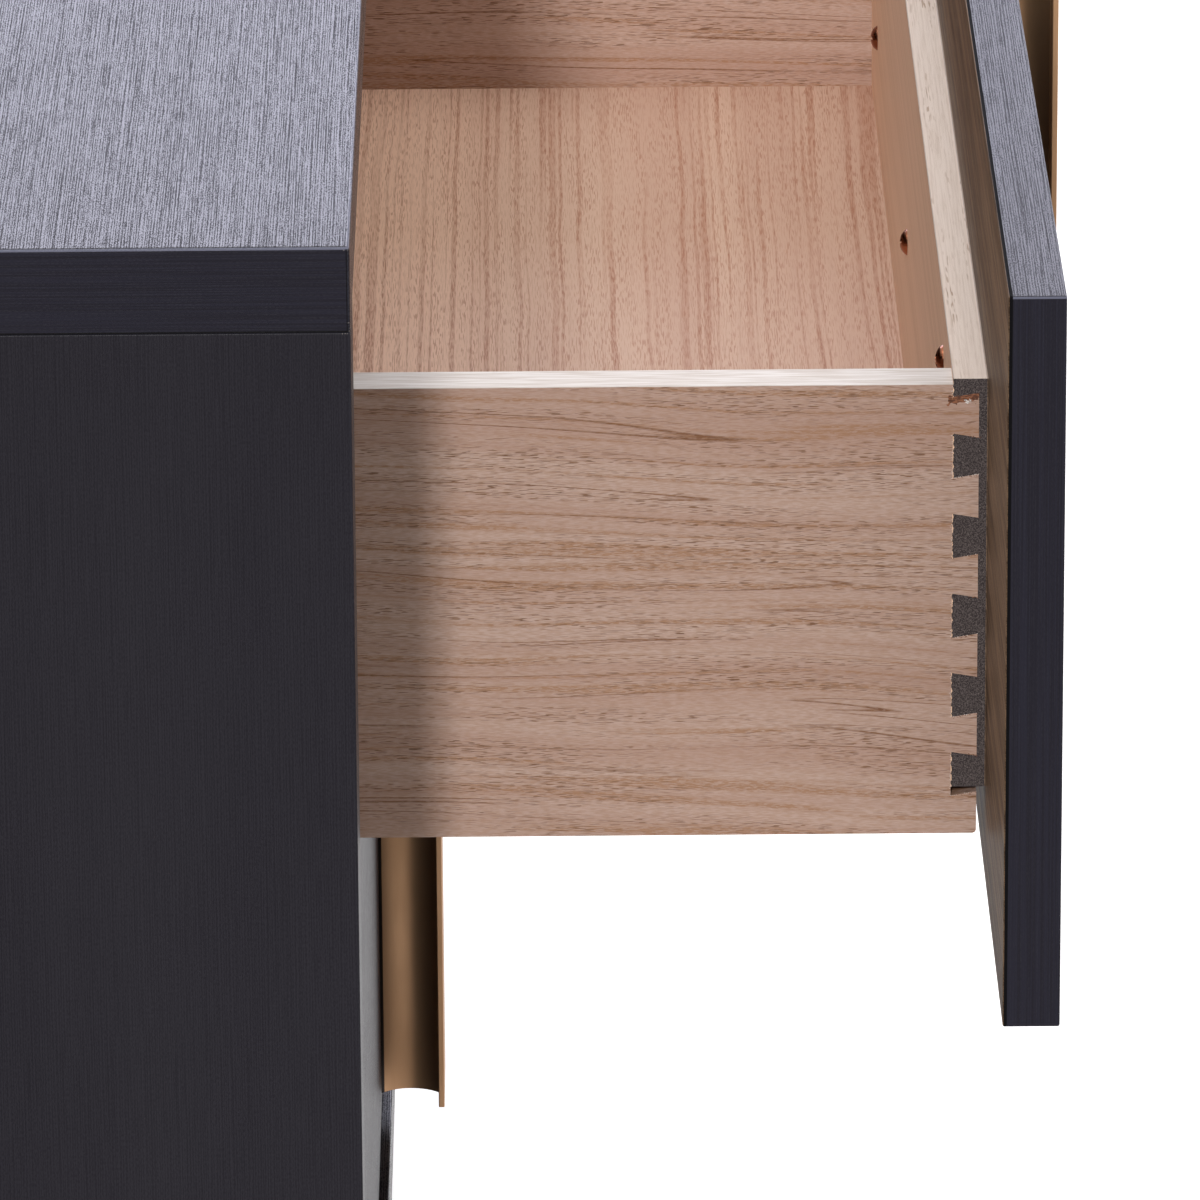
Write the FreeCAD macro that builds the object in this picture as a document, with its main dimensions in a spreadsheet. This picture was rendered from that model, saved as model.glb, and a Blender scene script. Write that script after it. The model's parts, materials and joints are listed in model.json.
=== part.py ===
# Dresser with two wide inset drawers on four short legs, the upper drawer pulled part way out.
# Millimetres, +Z up, the drawers open towards -Y. The origin is the middle of the box round the
# whole object, on the floor.
import FreeCAD, Part
import os
from FreeCAD import Placement, Rotation, Vector

doc = FreeCAD.newDocument("Dresser")
sheet = doc.addObject("Spreadsheet::Sheet", "Sizes")

# Driving sizes: an alias, its value and what it is
sizes = [
    # Carcass
    ("width", 1260, "whole width"),
    ("depth", 450, "carcass depth, front edge to back"),
    ("panel", 40, "side panel thickness"),
    ("top_thick", 30, "top panel thickness"),
    ("floor_thick", 30, "bottom panel thickness"),
    ("backing", 9, "back panel thickness"),
    ("rebate", 12, "back panel's seat in each side panel"),
    ("top_arris", 1.5, "rounding of the top panel's edges"),
    ("arris", 0.8, "rounding of the other boards' edges"),
    ("divider", 18, "inner upright and rail thickness"),
    ("rail_width", 80, "rail's size front to back"),
    ("overrun", 1, "how far a cutting tool passes a face"),
    # Legs
    ("leg_height", 145, "floor to the bottom panel"),
    ("leg_inset_side", 110, "leg axis to the carcass's side"),
    ("leg_inset_front", 70, "leg axis to the carcass's front or back"),
    ("leg_top_radius", 20, "leg's upper end"),
    ("leg_foot_radius", 12, "leg's lower end"),
    ("plate_side", 76, "leg plate's side"),
    ("plate_thick", 3, "leg plate's thickness"),
    ("plate_screw_gap", 12, "plate screw axis to the plate's edge"),
    ("leg_bolt_radius", 4, "leg bolt"),
    ("leg_bolt_down", 22, "bolt's length in the leg"),
    ("leg_bolt_up", 14, "bolt's length in the bottom panel"),
    ("glide_radius", 11, "glide's foot"),
    ("glide_height", 5, "glide's foot height"),
    ("glide_stud_radius", 3, "glide's stud"),
    ("glide_stud_length", 16, "glide's stud in the leg"),
    # Drawer fronts and the box behind each
    ("front_height", 268, "drawer front height"),
    ("front_thick", 20, "drawer front thickness"),
    ("front_gap", 3, "gap over, between and under the fronts"),
    ("front_setback", 4, "closed fronts behind the side panels' front edges"),
    ("side_gap", 2, "gap at each end of a front"),
    ("behind_gap", 2, "closed front to the inner uprights"),
    ("box_inset", 187.5, "carcass side to the drawer box's side"),
    ("box_drop", 78, "front's top edge to the inner front's top"),
    ("box_back_gap", 17, "shut drawer box to the back panel"),
    ("board", 18, "drawer side thickness"),
    ("side_lift", 16.5, "front's lower edge up to the drawer side's"),
    ("side_drop", 2.2, "inner front's top to the drawer side's top"),
    ("side_corner", 1.5, "rounding of the drawer side's lower front corner"),
    ("subfront_thick", 12.5, "inner front thickness"),
    ("subfront_lift", 34.5, "front's lower edge up to the inner front's"),
    ("lap", 3.2, "wood left in front of the dovetails"),
    ("pin_pitch_share", 0.195, "dovetail pitch over the inner front's height"),
    ("first_pin_share", 0.134, "top of the first pin over the same height"),
    ("half_pin_share", 0.046, "top half pin's height over the same height"),
    ("pin_share", 0.558, "pin's height over the pitch, at its inner end"),
    ("pin_waist_share", 0.455, "pin's height over the pitch, at its outer end"),
    ("bottom_thick", 5, "drawer bottom thickness"),
    ("groove", 6, "drawer bottom's seat in each side"),
    ("box_back_thick", 12, "drawer back thickness"),
    ("back_drop", 6, "drawer side's top to the drawer back's top"),
    # Pull
    ("pull_end_gap", 6.5, "pull's ends to the front's upper and lower edges"),
    ("pull_projection", 26, "front's face to the pull's outer face"),
    ("cap_width", 46, "pull's outer plate"),
    ("cap_thick", 2.4, "outer plate's thickness"),
    ("cap_arris", 0.4, "rounding of the outer plate"),
    ("web_width", 14, "pull's web where it meets the front"),
    ("cove_depth", 5, "how far each hollow runs into the web"),
    # Slides
    ("steel", 1.5, "slide steel thickness"),
    ("side_clear", 5.5, "drawer side to the inner upright"),
    ("slide_gap", 1.5, "drawer side down to the slide's web"),
    ("rail_offset", 2, "drawer side's inner face to the slide's rail"),
    ("rail_track", 20, "slide rail's width"),
    ("lip", 4.5, "height of the rail's lips"),
    ("play", 0.35, "running clearance in the slide"),
    ("flange_height", 28, "slide flange on the inner upright"),
    ("slide_start", 3, "slide's end behind the closed front"),
    ("middle_inset", 20, "slide's middle member to each end of the shut slide"),
    ("channel_short", 18, "drawer channel shorter than the slide"),
    ("tube_wall", 1.2, "middle member's wall"),
    ("clip_length", 42, "locking clip, front to back"),
    ("clip_width", 26, "locking clip across"),
    ("clip_height", 9, "locking clip's height"),
    ("clip_gap", 3, "locking clip to the slide's rail"),
    # Position of the moving parts in the stored pose
    ("open_by", 247, "how far the upper drawer stands open"),
    ("half_share", 0.5, "the middle member's share of the travel"),
    # Fasteners
    ("screw_head_radius", 3.8, "countersunk screw head"),
    ("screw_head_height", 2.2, "countersunk screw head's height"),
    ("screw_radius", 1.9, "screw shank"),
    ("screw_length", 16, "short screw"),
    ("front_screw_length", 26, "screw through the inner front"),
    ("front_screw_head", 5, "that screw's head radius"),
    ("front_screw_sunk", 0.9, "its head below the inner face"),
    ("front_screw_room", 0.5, "recess round its head"),
    ("front_screw_high", 22.5, "upper screws below the inner front's top"),
    ("front_screw_low", 43, "lower outer screws above the inner front's underside"),
    ("front_screw_side", 88.5, "outer screws to the drawer box's side"),
    ("front_screw_middle", 64, "middle screw above the inner front's underside"),
    ("underside_screw_side", 93, "outer screws of the drawer bottom to the box's side"),
    ("pull_screw_radius", 2, "pull screw shank"),
    ("pull_screw_grip", 6, "pull screw's length in the web"),
    ("pull_screw_gap", 33, "pull screw to the pull's end"),
    ("button_radius", 3.5, "slide screw's flat head"),
    ("button_height", 1.8, "slide screw's flat head height"),
    ("slide_screw_gap", 60, "slide screw to the slide's end"),
    ("slide_screw_grip", 12, "slide screw's length in the inner upright"),
    ("dowel_radius", 4, "dowel"),
    ("dowel_deep", 18, "dowel's longer end"),
    ("dowel_short", 12, "dowel's shorter end"),
    ("dowel_margin", 60, "outer dowels to the board's edge"),
    ("rail_dowel_back", 62, "rail dowel behind the rail's front edge"),
    ("bumper_radius", 4, "bumper disc"),
    ("bumper_thick", 1.7, "bumper disc's thickness"),
    ("bumper_margin", 20, "bumper to the front's edge"),
    ("edge_margin", 40, "outer screws to the back panel's edge"),
]
for row, (alias, value, note) in enumerate(sizes, start=1):
    sheet.set(f"A{row}", note)
    sheet.set(f"B{row}", str(value))
    sheet.setAlias(f"B{row}", alias)
doc.recompute()

# Short names for the formulas that many pieces share
SIZE = {alias: f"Sizes.{alias}" for alias, value, note in sizes}


def f(text):
    """Writes a formula on the sheet's sizes, each named in angle brackets."""
    for alias in sorted(SIZE, key=len, reverse=True):
        text = text.replace(f"<{alias}>", SIZE[alias])
    return text


def both(*terms):
    """Adds formulas up."""
    return " + ".join(f"({f(term)})" for term in terms)


FRONT_Y = f("(<open_by> + <pull_projection> - <front_setback> - <depth>) / 2")
BODY_HEIGHT = f("(<top_thick> + <floor_thick> + 2 * <front_height> + 3 * <front_gap>)")
TOP_Z = both("<leg_height>", BODY_HEIGHT)
UNDER_TOP = both(TOP_Z, "-<top_thick>")
FLOOR_Z = f("<leg_height> + <floor_thick>")
INNER_HEIGHT = f("(2 * <front_height> + 3 * <front_gap>)")
UPRIGHT_INSET = f("(<box_inset> - <side_clear> - <divider>)")
CLOSED_Y = both(FRONT_Y, "<front_setback>")
UPRIGHT_Y = both(CLOSED_Y, "<front_thick> + <behind_gap>")
INNER_DEPTH = f("(<depth> - <backing> - <front_setback> - <front_thick> - <behind_gap>)")
SPAN = f"(<width> - 2 * ({UPRIGHT_INSET} + <divider>))"
BOX_WIDTH = "(<width> - 2 * <box_inset>)"
BOX_LENGTH = "(<depth> - <front_setback> - <front_thick> - <backing> - <box_back_gap>)"
SLIDE_LENGTH = f"({BOX_LENGTH} - <slide_start>)"
MIDDLE_LENGTH = f"({SLIDE_LENGTH} - 2 * <middle_inset>)"
SUBFRONT_HEIGHT = "(<front_height> - <box_drop> - <subfront_lift>)"
SIDE_HEIGHT = "(<front_height> - <box_drop> - <side_drop> - <side_lift>)"
BOX_BACK_HEIGHT = f"({SUBFRONT_HEIGHT} - <side_drop> - <back_drop>)"
PULL_LENGTH = "(<front_height> - 2 * <pull_end_gap>)"


def bind(thing, **formulas):
    for name, formula in formulas.items():
        thing.setExpression(name, f(formula))


def put(thing, x, y, z):
    """Binds where the piece's own corner or axis stands."""
    thing.setExpression("Placement.Base.x", f(x))
    thing.setExpression("Placement.Base.y", f(y))
    thing.setExpression("Placement.Base.z", f(z))


def mirrored(side, inset, wide):
    """X of a piece's left face, inset from the carcass's left or right side."""
    if side == "left":
        return f"({inset}) - <width> / 2"
    return f"<width> / 2 - ({inset}) - ({wide})"


def block(name, size, corner):
    piece = doc.addObject("Part::Box", name)
    bind(piece, Length=size[0], Width=size[1], Height=size[2])
    put(piece, *corner)
    return piece


def board(name, size, corner, arris="<arris>", sharp_under=False):
    """A board whose edges are slightly rounded, all of them or all but those of its underside."""
    body = doc.addObject("PartDesign::Body", name)
    blank = body.newObject("PartDesign::AdditiveBox", name + "_blank")
    bind(blank, Length=size[0], Width=size[1], Height=size[2])
    doc.recompute()
    rounding = body.newObject("PartDesign::Fillet", name + "_arris")
    under = blank.Shape.BoundBox.ZMin
    edges = [f"Edge{i + 1}" for i, edge in enumerate(blank.Shape.Edges)
             if not sharp_under or edge.CenterOfMass.z > under]
    rounding.Base = (blank, edges)
    bind(rounding, Radius=arris)
    body.Tip = rounding
    put(body, *corner)
    return body


turns = {
    "+z": Rotation(),
    "-z": Rotation(Vector(1, 0, 0), 180),
    "+x": Rotation(Vector(0, 1, 0), 90),
    "-x": Rotation(Vector(0, 1, 0), -90),
    "+y": Rotation(Vector(1, 0, 0), -90),
    "-y": Rotation(Vector(1, 0, 0), 90),
}


def rod(name, radius, length, start, way):
    """A round rod from a point, pointing one way."""
    piece = doc.addObject("Part::Cylinder", name)
    piece.Placement = Placement(Vector(), turns[way])
    bind(piece, Radius=radius, Height=length)
    put(piece, *start)
    return piece


def taper(name, radii, length, start, way):
    piece = doc.addObject("Part::Cone", name)
    piece.Placement = Placement(Vector(), turns[way])
    bind(piece, Radius1=radii[0], Radius2=radii[1], Height=length)
    put(piece, *start)
    return piece


def fused(name, pieces):
    """Joins what touches; pieces that stand apart stay separate solids."""
    joined = doc.addObject("Part::MultiFuse", name)
    joined.Shapes = pieces
    joined.Refine = True
    return joined


def cut(name, base, tools):
    """Takes the tools' space out of the base."""
    if len(tools) == 1:
        tool = tools[0]
    else:
        tool = doc.addObject("Part::Compound", name + "_tools")
        tool.Links = tools
    rest = doc.addObject("Part::Cut", name)
    rest.Base = base
    rest.Tool = tool
    return rest


def screws(name, places, length="<screw_length>", radius="<screw_radius>", head="<screw_head_radius>"):
    """Countersunk screws: each place is the middle of a head's face and the way the screw points."""
    pieces = []
    for number, (start, way) in enumerate(places, start=1):
        pieces.append(taper(f"{name}_head_{number}", (head, radius),
                            "<screw_head_height>", start, way))
        pieces.append(rod(f"{name}_shank_{number}", radius, length, start, way))
    return fused(name, pieces)


kept = []


def keep(piece, name):
    """Marks a finished sub-part; its label names its file."""
    piece.Label = name
    kept.append(piece)
    return piece


# Dowels that hold the carcass together: start of each dowel and the way it points
dowel_length = "(<dowel_deep> + <dowel_short>)"
dowel_places = []
along_depth = ("<dowel_margin>", "<depth> / 2", "<depth> - <dowel_margin>")
for side in ("left", "right"):
    panel_middle = mirrored(side, "<panel> / 2", "0")
    upright_middle = mirrored(side, f"{UPRIGHT_INSET} + <divider> / 2", "0")
    inward = "+x" if side == "left" else "-x"
    panel_inner = mirrored(side, "<panel> - <dowel_deep>", "0")
    upright_inner = mirrored(side, f"{UPRIGHT_INSET} + <divider> - <dowel_short>", "0")
    for back in along_depth:
        y = both(FRONT_Y, back)
        dowel_places.append(((panel_middle, y, both(UNDER_TOP, "-<dowel_deep>")), "+z"))
        dowel_places.append(((panel_inner, y, f("<leg_height> + <floor_thick> / 2")), inward))
        dowel_places.append(((upright_middle, y, both(UNDER_TOP, "-<dowel_deep>")), "+z"))
        dowel_places.append(((upright_middle, y, both(FLOOR_Z, "-<dowel_short>")), "+z"))
    rail_middles = (
        (both(UPRIGHT_Y, "<rail_dowel_back>"), both(UNDER_TOP, "-<divider> / 2")),
        (both(FRONT_Y, "<depth> - <backing> - <rail_width> + <rail_dowel_back>"),
         both(UNDER_TOP, "-<divider> / 2")),
        (both(UPRIGHT_Y, "<rail_dowel_back>"), both(FLOOR_Z, f"{INNER_HEIGHT} / 2")),
    )
    for y, z in rail_middles:
        dowel_places.append(((upright_inner, y, z), inward))
dowels = fused("carcass_dowels", [
    rod(f"dowel_{number}", "<dowel_radius>", dowel_length, start, way)
    for number, (start, way) in enumerate(dowel_places, start=1)])
keep(dowels, "carcass_dowels")

# Screws of the back panel, from behind
back_face = both(FRONT_Y, "<depth>")
back_places = []
for side in ("left", "right"):
    edge = mirrored(side, "<panel> - <rebate> / 2", "0")
    upright = mirrored(side, f"{UPRIGHT_INSET} + <divider> / 2", "0")
    for count in (0, 1, 2, 3):
        step = f"({INNER_HEIGHT} - 2 * <edge_margin>) * {count} / 3"
        back_places.append(((edge, back_face, both(FLOOR_Z, "<edge_margin>", step)), "-y"))
        if count < 3:
            half = f"({INNER_HEIGHT} - 2 * <edge_margin>) * {2 * count + 1} / 6"
            back_places.append(((upright, back_face, both(FLOOR_Z, "<edge_margin>", half)), "-y"))
for step in (-2, -1, 0, 1, 2):
    x = f"({BOX_WIDTH} / 2 - <edge_margin>) * {step} / 2"
    back_places.append(((x, back_face, f("<leg_height> + <floor_thick> / 2")), "-y"))
back_screws = keep(screws("back_screws", back_places, "(<backing> + <screw_length>)"), "back_screws")

# Legs, each with a plate, a bolt, four plate screws and a glide
legs = {}
plates, bolts, glides, plate_screw_places = [], [], [], []
for end in ("front", "back"):
    for side in ("left", "right"):
        x = mirrored(side, "<leg_inset_side>", "0")
        if end == "front":
            y = both(FRONT_Y, "<leg_inset_front>")
        else:
            y = both(FRONT_Y, "<depth> - <leg_inset_front>")
        name = f"leg_{end}_{side}"
        plate_under = f("<leg_height> - <plate_thick>")
        bolt = rod(name + "_bolt", "<leg_bolt_radius>", "<leg_bolt_down> + <plate_thick> + <leg_bolt_up>",
                   (x, y, both(plate_under, "-<leg_bolt_down>")), "+z")
        foot = rod(name + "_foot", "<glide_radius>", "<glide_height>", (x, y, "0"), "+z")
        stud = rod(name + "_stud", "<glide_stud_radius>", "<glide_height> + <glide_stud_length>",
                   (x, y, "0"), "+z")
        post = taper(name + "_post", ("<leg_foot_radius>", "<leg_top_radius>"),
                     "<leg_height> - <plate_thick> - <glide_height>", (x, y, "<glide_height>"), "+z")
        plates.append(board(name + "_plate", ("<plate_side>", "<plate_side>", "<plate_thick>"),
                            (both(x, "-<plate_side> / 2"), both(y, "-<plate_side> / 2"), plate_under),
                            "<cap_arris>"))
        bolts.append(bolt)
        glides.extend([foot, stud])
        legs[name] = (post, bolt, stud)
        for dx in ("-", "+"):
            for dy in ("-", "+"):
                reach = "(<plate_side> / 2 - <plate_screw_gap>)"
                start = (both(x, f"0 {dx} {reach}"), both(y, f"0 {dy} {reach}"), plate_under)
                plate_screw_places.append((start, "+z"))
leg_screws = keep(screws("leg_screws", plate_screw_places), "leg_screws")
leg_glides = keep(fused("leg_glides", glides), "leg_glides")
leg_bolts = doc.addObject("Part::Compound", "leg_bolts")
leg_bolts.Links = bolts
keep(leg_bolts, "leg_bolts")
plate_set = doc.addObject("Part::Compound", "leg_plate_set")
plate_set.Links = plates
keep(cut("leg_plates", plate_set, [leg_bolts, leg_screws]), "leg_plates")
for name, (post, bolt, stud) in legs.items():
    keep(cut(name, post, [bolt, stud]), name)

# Carcass panels
top = board("top_blank", ("<width>", "<depth>", "<top_thick>"),
            ("-<width> / 2", FRONT_Y, UNDER_TOP), "<top_arris>", sharp_under=True)
keep(cut("top_panel", top, [dowels]), "top_panel")
backing = block("backing_blank",
                ("<width> - 2 * (<panel> - <rebate>)", "<backing>", f"{BODY_HEIGHT} - <top_thick>"),
                ("<panel> - <rebate> - <width> / 2", both(FRONT_Y, "<depth> - <backing>"), "<leg_height>"))
keep(cut("back_panel", backing, [back_screws]), "back_panel")
uprights = {}
for side in ("left", "right"):
    blank = board(f"side_blank_{side}", ("<panel>", "<depth>", f"{BODY_HEIGHT} - <top_thick>"),
                  (mirrored(side, "0", "<panel>"), FRONT_Y, "<leg_height>"))
    seat = block(f"side_rebate_{side}",
                 ("<rebate> + <overrun>", "<backing> + <overrun>",
                  f"{BODY_HEIGHT} - <top_thick> + 2 * <overrun>"),
                 (mirrored(side, "<panel> - <rebate>", "<rebate> + <overrun>"),
                  both(FRONT_Y, "<depth> - <backing>"), "<leg_height> - <overrun>"))
    keep(cut(f"side_panel_{side}", cut(f"side_seated_{side}", blank, [seat]), [dowels, back_screws]),
         f"side_panel_{side}")
    uprights[side] = board(f"upright_blank_{side}", ("<divider>", INNER_DEPTH, INNER_HEIGHT),
                           (mirrored(side, UPRIGHT_INSET, "<divider>"), UPRIGHT_Y, FLOOR_Z))
floor_blank = board("floor_blank", ("<width> - 2 * <panel>", "<depth> - <backing>", "<floor_thick>"),
                    ("<panel> - <width> / 2", FRONT_Y, "<leg_height>"))
keep(cut("bottom_panel", floor_blank, [dowels, back_screws, leg_screws, leg_bolts]), "bottom_panel")

# Rails between the inner uprights
rail_size = (SPAN, "<rail_width>", "<divider>")
rail_left = f"-({SPAN}) / 2"
rails = {
    "top_rail_front": (UPRIGHT_Y, both(UNDER_TOP, "-<divider>")),
    "top_rail_back": (both(FRONT_Y, "<depth> - <backing> - <rail_width>"), both(UNDER_TOP, "-<divider>")),
    "middle_rail": (UPRIGHT_Y, both(FLOOR_Z, f"({INNER_HEIGHT} - <divider>) / 2")),
}
for name, (y, z) in rails.items():
    keep(cut(name, board(name + "_blank", rail_size, (rail_left, y, z)), [dowels]), name)

# Drawers: the upper one stands open, the lower one is shut
slide_screw_places = []
bumpers = []
drawers = {
    "upper": {"front_z": both(UNDER_TOP, "-<front_gap> - <front_height>"), "out": "<open_by>"},
    "lower": {"front_z": both(FLOOR_Z, "<front_gap>"), "out": "0"},
}
for name, place in drawers.items():
    front_z = place["front_z"]
    front_y = both(CLOSED_Y, f"-({place['out']})")
    back_of_front = both(front_y, "<front_thick>")
    subfront_top = both(front_z, "<front_height> - <box_drop>")
    subfront_under = both(subfront_top, f"-{SUBFRONT_HEIGHT}")
    side_top = both(subfront_top, "-<side_drop>")
    side_under = both(side_top, f"-{SIDE_HEIGHT}")
    bottom_z = both(subfront_under, "-<bottom_thick>")

    # Screws first, because they cut their own holes
    pull_middle_z = both(front_z, "<front_height> / 2")
    pull_reach = f"({PULL_LENGTH} / 2 - <pull_screw_gap>)"
    pull_screws = keep(screws(
        f"{name}_pull_screws",
        [(("0", back_of_front, both(pull_middle_z, f"{way} * {pull_reach}")), "-y") for way in (1, -1)],
        "(<front_thick> + <pull_screw_grip>)", "<pull_screw_radius>"), f"{name}_pull_screws")
    inner_face = both(back_of_front, "<subfront_thick>")
    screw_x = f"({BOX_WIDTH} / 2 - <front_screw_side>)"
    high = both(subfront_top, "-<front_screw_high>")
    low = both(subfront_under, "<front_screw_low>")
    front_screw_xz = ((f"-{screw_x}", high), (screw_x, high),
                      (f"-{screw_x}", low), (screw_x, low),
                      ("0", both(subfront_under, "<front_screw_middle>")))
    sunk_face = both(inner_face, "-<front_screw_sunk>")
    front_screws = keep(screws(
        f"{name}_front_screws", [((x, sunk_face, z), "-y") for x, z in front_screw_xz],
        "<front_screw_length>", head="<front_screw_head>"), f"{name}_front_screws")
    recesses = [rod(f"{name}_recess_{number}", "<front_screw_head> + <front_screw_room>",
                    "<front_screw_sunk> + <overrun>", (x, both(inner_face, "<overrun>"), z), "-y")
                for number, (x, z) in enumerate(front_screw_xz, start=1)]
    back_middle = both(back_of_front, f"{BOX_LENGTH} - <box_back_thick> / 2")
    side_places = []
    for side, way in (("left", "+x"), ("right", "-x")):
        for step in (1, 2, 3):
            z = both(subfront_under, f"{BOX_BACK_HEIGHT} * {2 * step - 1} / 6")
            side_places.append(((mirrored(side, "<box_inset>", "0"), back_middle, z), way))
    side_screws = keep(screws(f"{name}_side_screws", side_places, "(<board> + <screw_length>)"),
                       f"{name}_side_screws")

    # Front and pull
    front = board(f"{name}_front_blank",
                  ("<width> - 2 * <panel> - 2 * <side_gap>", "<front_thick>", "<front_height>"),
                  ("<panel> + <side_gap> - <width> / 2", front_y, front_z))
    keep(cut(f"{name}_front", front, [pull_screws, front_screws]), f"{name}_front")
    pull_z = both(pull_middle_z, f"-{PULL_LENGTH} / 2")
    web_depth = "(<pull_projection> - <cap_thick>)"
    cove_radius = f"(({web_depth} * {web_depth} / 4 + <cove_depth> * <cove_depth>) / (2 * <cove_depth>))"
    core = block(f"{name}_pull_core", ("<web_width>", web_depth, PULL_LENGTH),
                 ("-<web_width> / 2", both(front_y, f"-{web_depth}"), pull_z))
    coves = [rod(f"{name}_cove_{side}", cove_radius, f"{PULL_LENGTH} + 2 * <overrun>",
                 (f"{sign} * (<web_width> / 2 + {cove_radius} - <cove_depth>)",
                  both(front_y, f"-{web_depth} / 2"), both(pull_z, "-<overrun>")), "+z")
             for side, sign in (("left", "-1"), ("right", "1"))]
    web = cut(f"{name}_pull_web", core, coves)
    cap = board(f"{name}_pull_cap", ("<cap_width>", "<cap_thick>", PULL_LENGTH),
                ("-<cap_width> / 2", both(front_y, "-<pull_projection>"), pull_z), "<cap_arris>")
    keep(cut(f"{name}_pull", fused(f"{name}_pull_body", [web, cap]), [pull_screws]), f"{name}_pull")

    # Drawer bottom, grooved into the sides
    bottom = block(f"{name}_bottom_blank",
                   (f"{BOX_WIDTH} - 2 * (<board> - <groove>)", f"{BOX_LENGTH} - <lap>", "<bottom_thick>"),
                   (f"<box_inset> + <board> - <groove> - <width> / 2", both(back_of_front, "<lap>"), bottom_z))

    # Screws up into the drawer back and through the locking clips
    underside_x = f"({BOX_WIDTH} / 2 - <underside_screw_side>)"
    underside_places = [((f"{underside_x} * {step} / 2", back_middle, bottom_z), "+z")
                        for step in (-2, -1, 0, 1, 2)]
    clips = []
    for side in ("left", "right"):
        clip_inset = "(<box_inset> + <board> + <rail_offset> + <rail_track> + <clip_gap>)"
        clip_y = both(back_of_front, "<subfront_thick>")
        clips.append(board(f"{name}_clip_{side}", ("<clip_width>", "<clip_length>", "<clip_height>"),
                           (mirrored(side, clip_inset, "<clip_width>"), clip_y,
                            both(bottom_z, "-<clip_height>")), "<arris>"))
    underside_screws = keep(screws(f"{name}_underside_screws", underside_places, "<screw_length>"),
                            f"{name}_underside_screws")
    clip_set = doc.addObject("Part::Compound", f"{name}_slide_clips")
    clip_set.Links = clips
    keep(clip_set, f"{name}_slide_clips")
    keep(cut(f"{name}_bottom", bottom, [underside_screws]), f"{name}_bottom")
    drawer_back = block(f"{name}_back_blank",
                        (f"{BOX_WIDTH} - 2 * <board>", "<box_back_thick>", BOX_BACK_HEIGHT),
                        ("<box_inset> + <board> - <width> / 2",
                         both(back_of_front, f"{BOX_LENGTH} - <box_back_thick>"), subfront_under))
    keep(cut(f"{name}_back", drawer_back, [side_screws, underside_screws]), f"{name}_back")

    # Sides, dovetailed into the inner front
    pitch = f"(<pin_pitch_share> * {SUBFRONT_HEIGHT})"
    pin_depth = "(<subfront_thick> - <lap>)"
    slope = f"({pitch} * (<pin_share> - <pin_waist_share>) / 2)"
    box_sides = []
    for side in ("left", "right"):
        outer_x = mirrored(side, "<box_inset>", "<board>")
        plank = block(f"{name}_plank_{side}", ("<board>", f"{BOX_LENGTH} - <lap>", SIDE_HEIGHT),
                      (outer_x, both(back_of_front, "<lap>"), side_under))
        corner_y = both(back_of_front, "<lap> + <side_corner>")
        corner_rod = rod(f"{name}_corner_rod_{side}", "<side_corner>", "<board> + 4 * <overrun>",
                         (both(outer_x, "-2 * <overrun>"), corner_y, both(side_under, "<side_corner>")), "+x")
        corner_block = block(f"{name}_corner_block_{side}",
                             ("<board> + 2 * <overrun>", "<side_corner> + <overrun>", "<side_corner> + <overrun>"),
                             (both(outer_x, "-<overrun>"), both(corner_y, "-<side_corner> - <overrun>"),
                              both(side_under, "-<overrun>")))
        pins = [cut(f"{name}_corner_{side}", corner_block, [corner_rod])]
        for number in (0, 1, 2, 3, 4, 5):
            pin = doc.addObject("Part::Wedge", f"{name}_pin_{side}_{number}")
            if number == 0:
                # The half pin runs out over the drawer side's top edge
                tall = f"(<half_pin_share> * {SUBFRONT_HEIGHT})"
                z = both(subfront_top, f"-{tall}")
                bind(pin, Zmin=slope, Zmax=f"{tall} + <overrun>", Z2min="0", Z2max=f"{tall} + <overrun>")
            else:
                tall = f"({pitch} * <pin_share>)"
                z = both(subfront_top, f"-<first_pin_share> * {SUBFRONT_HEIGHT} - {number - 1} * {pitch} - {tall}")
                bind(pin, Zmin=slope, Zmax=f"{tall} - {slope}", Z2min="0", Z2max=tall)
            bind(pin, Xmin="-<overrun>", Xmax="<board> + <overrun>", X2min="-<overrun>",
                 X2max="<board> + <overrun>", Ymin="0", Ymax=pin_depth)
            put(pin, outer_x, both(back_of_front, "<lap>"), z)
            pins.append(pin)
        tailed = cut(f"{name}_tailed_{side}", plank, pins)
        box_sides.append(keep(cut(f"{name}_side_{side}", tailed, [bottom, side_screws]),
                              f"{name}_side_{side}"))
    plate = block(f"{name}_subfront_blank", (BOX_WIDTH, "<subfront_thick>", SUBFRONT_HEIGHT),
                  ("<box_inset> - <width> / 2", back_of_front, subfront_under))
    keep(cut(f"{name}_inner_front", plate, box_sides + [front_screws] + recesses), f"{name}_inner_front")

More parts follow.
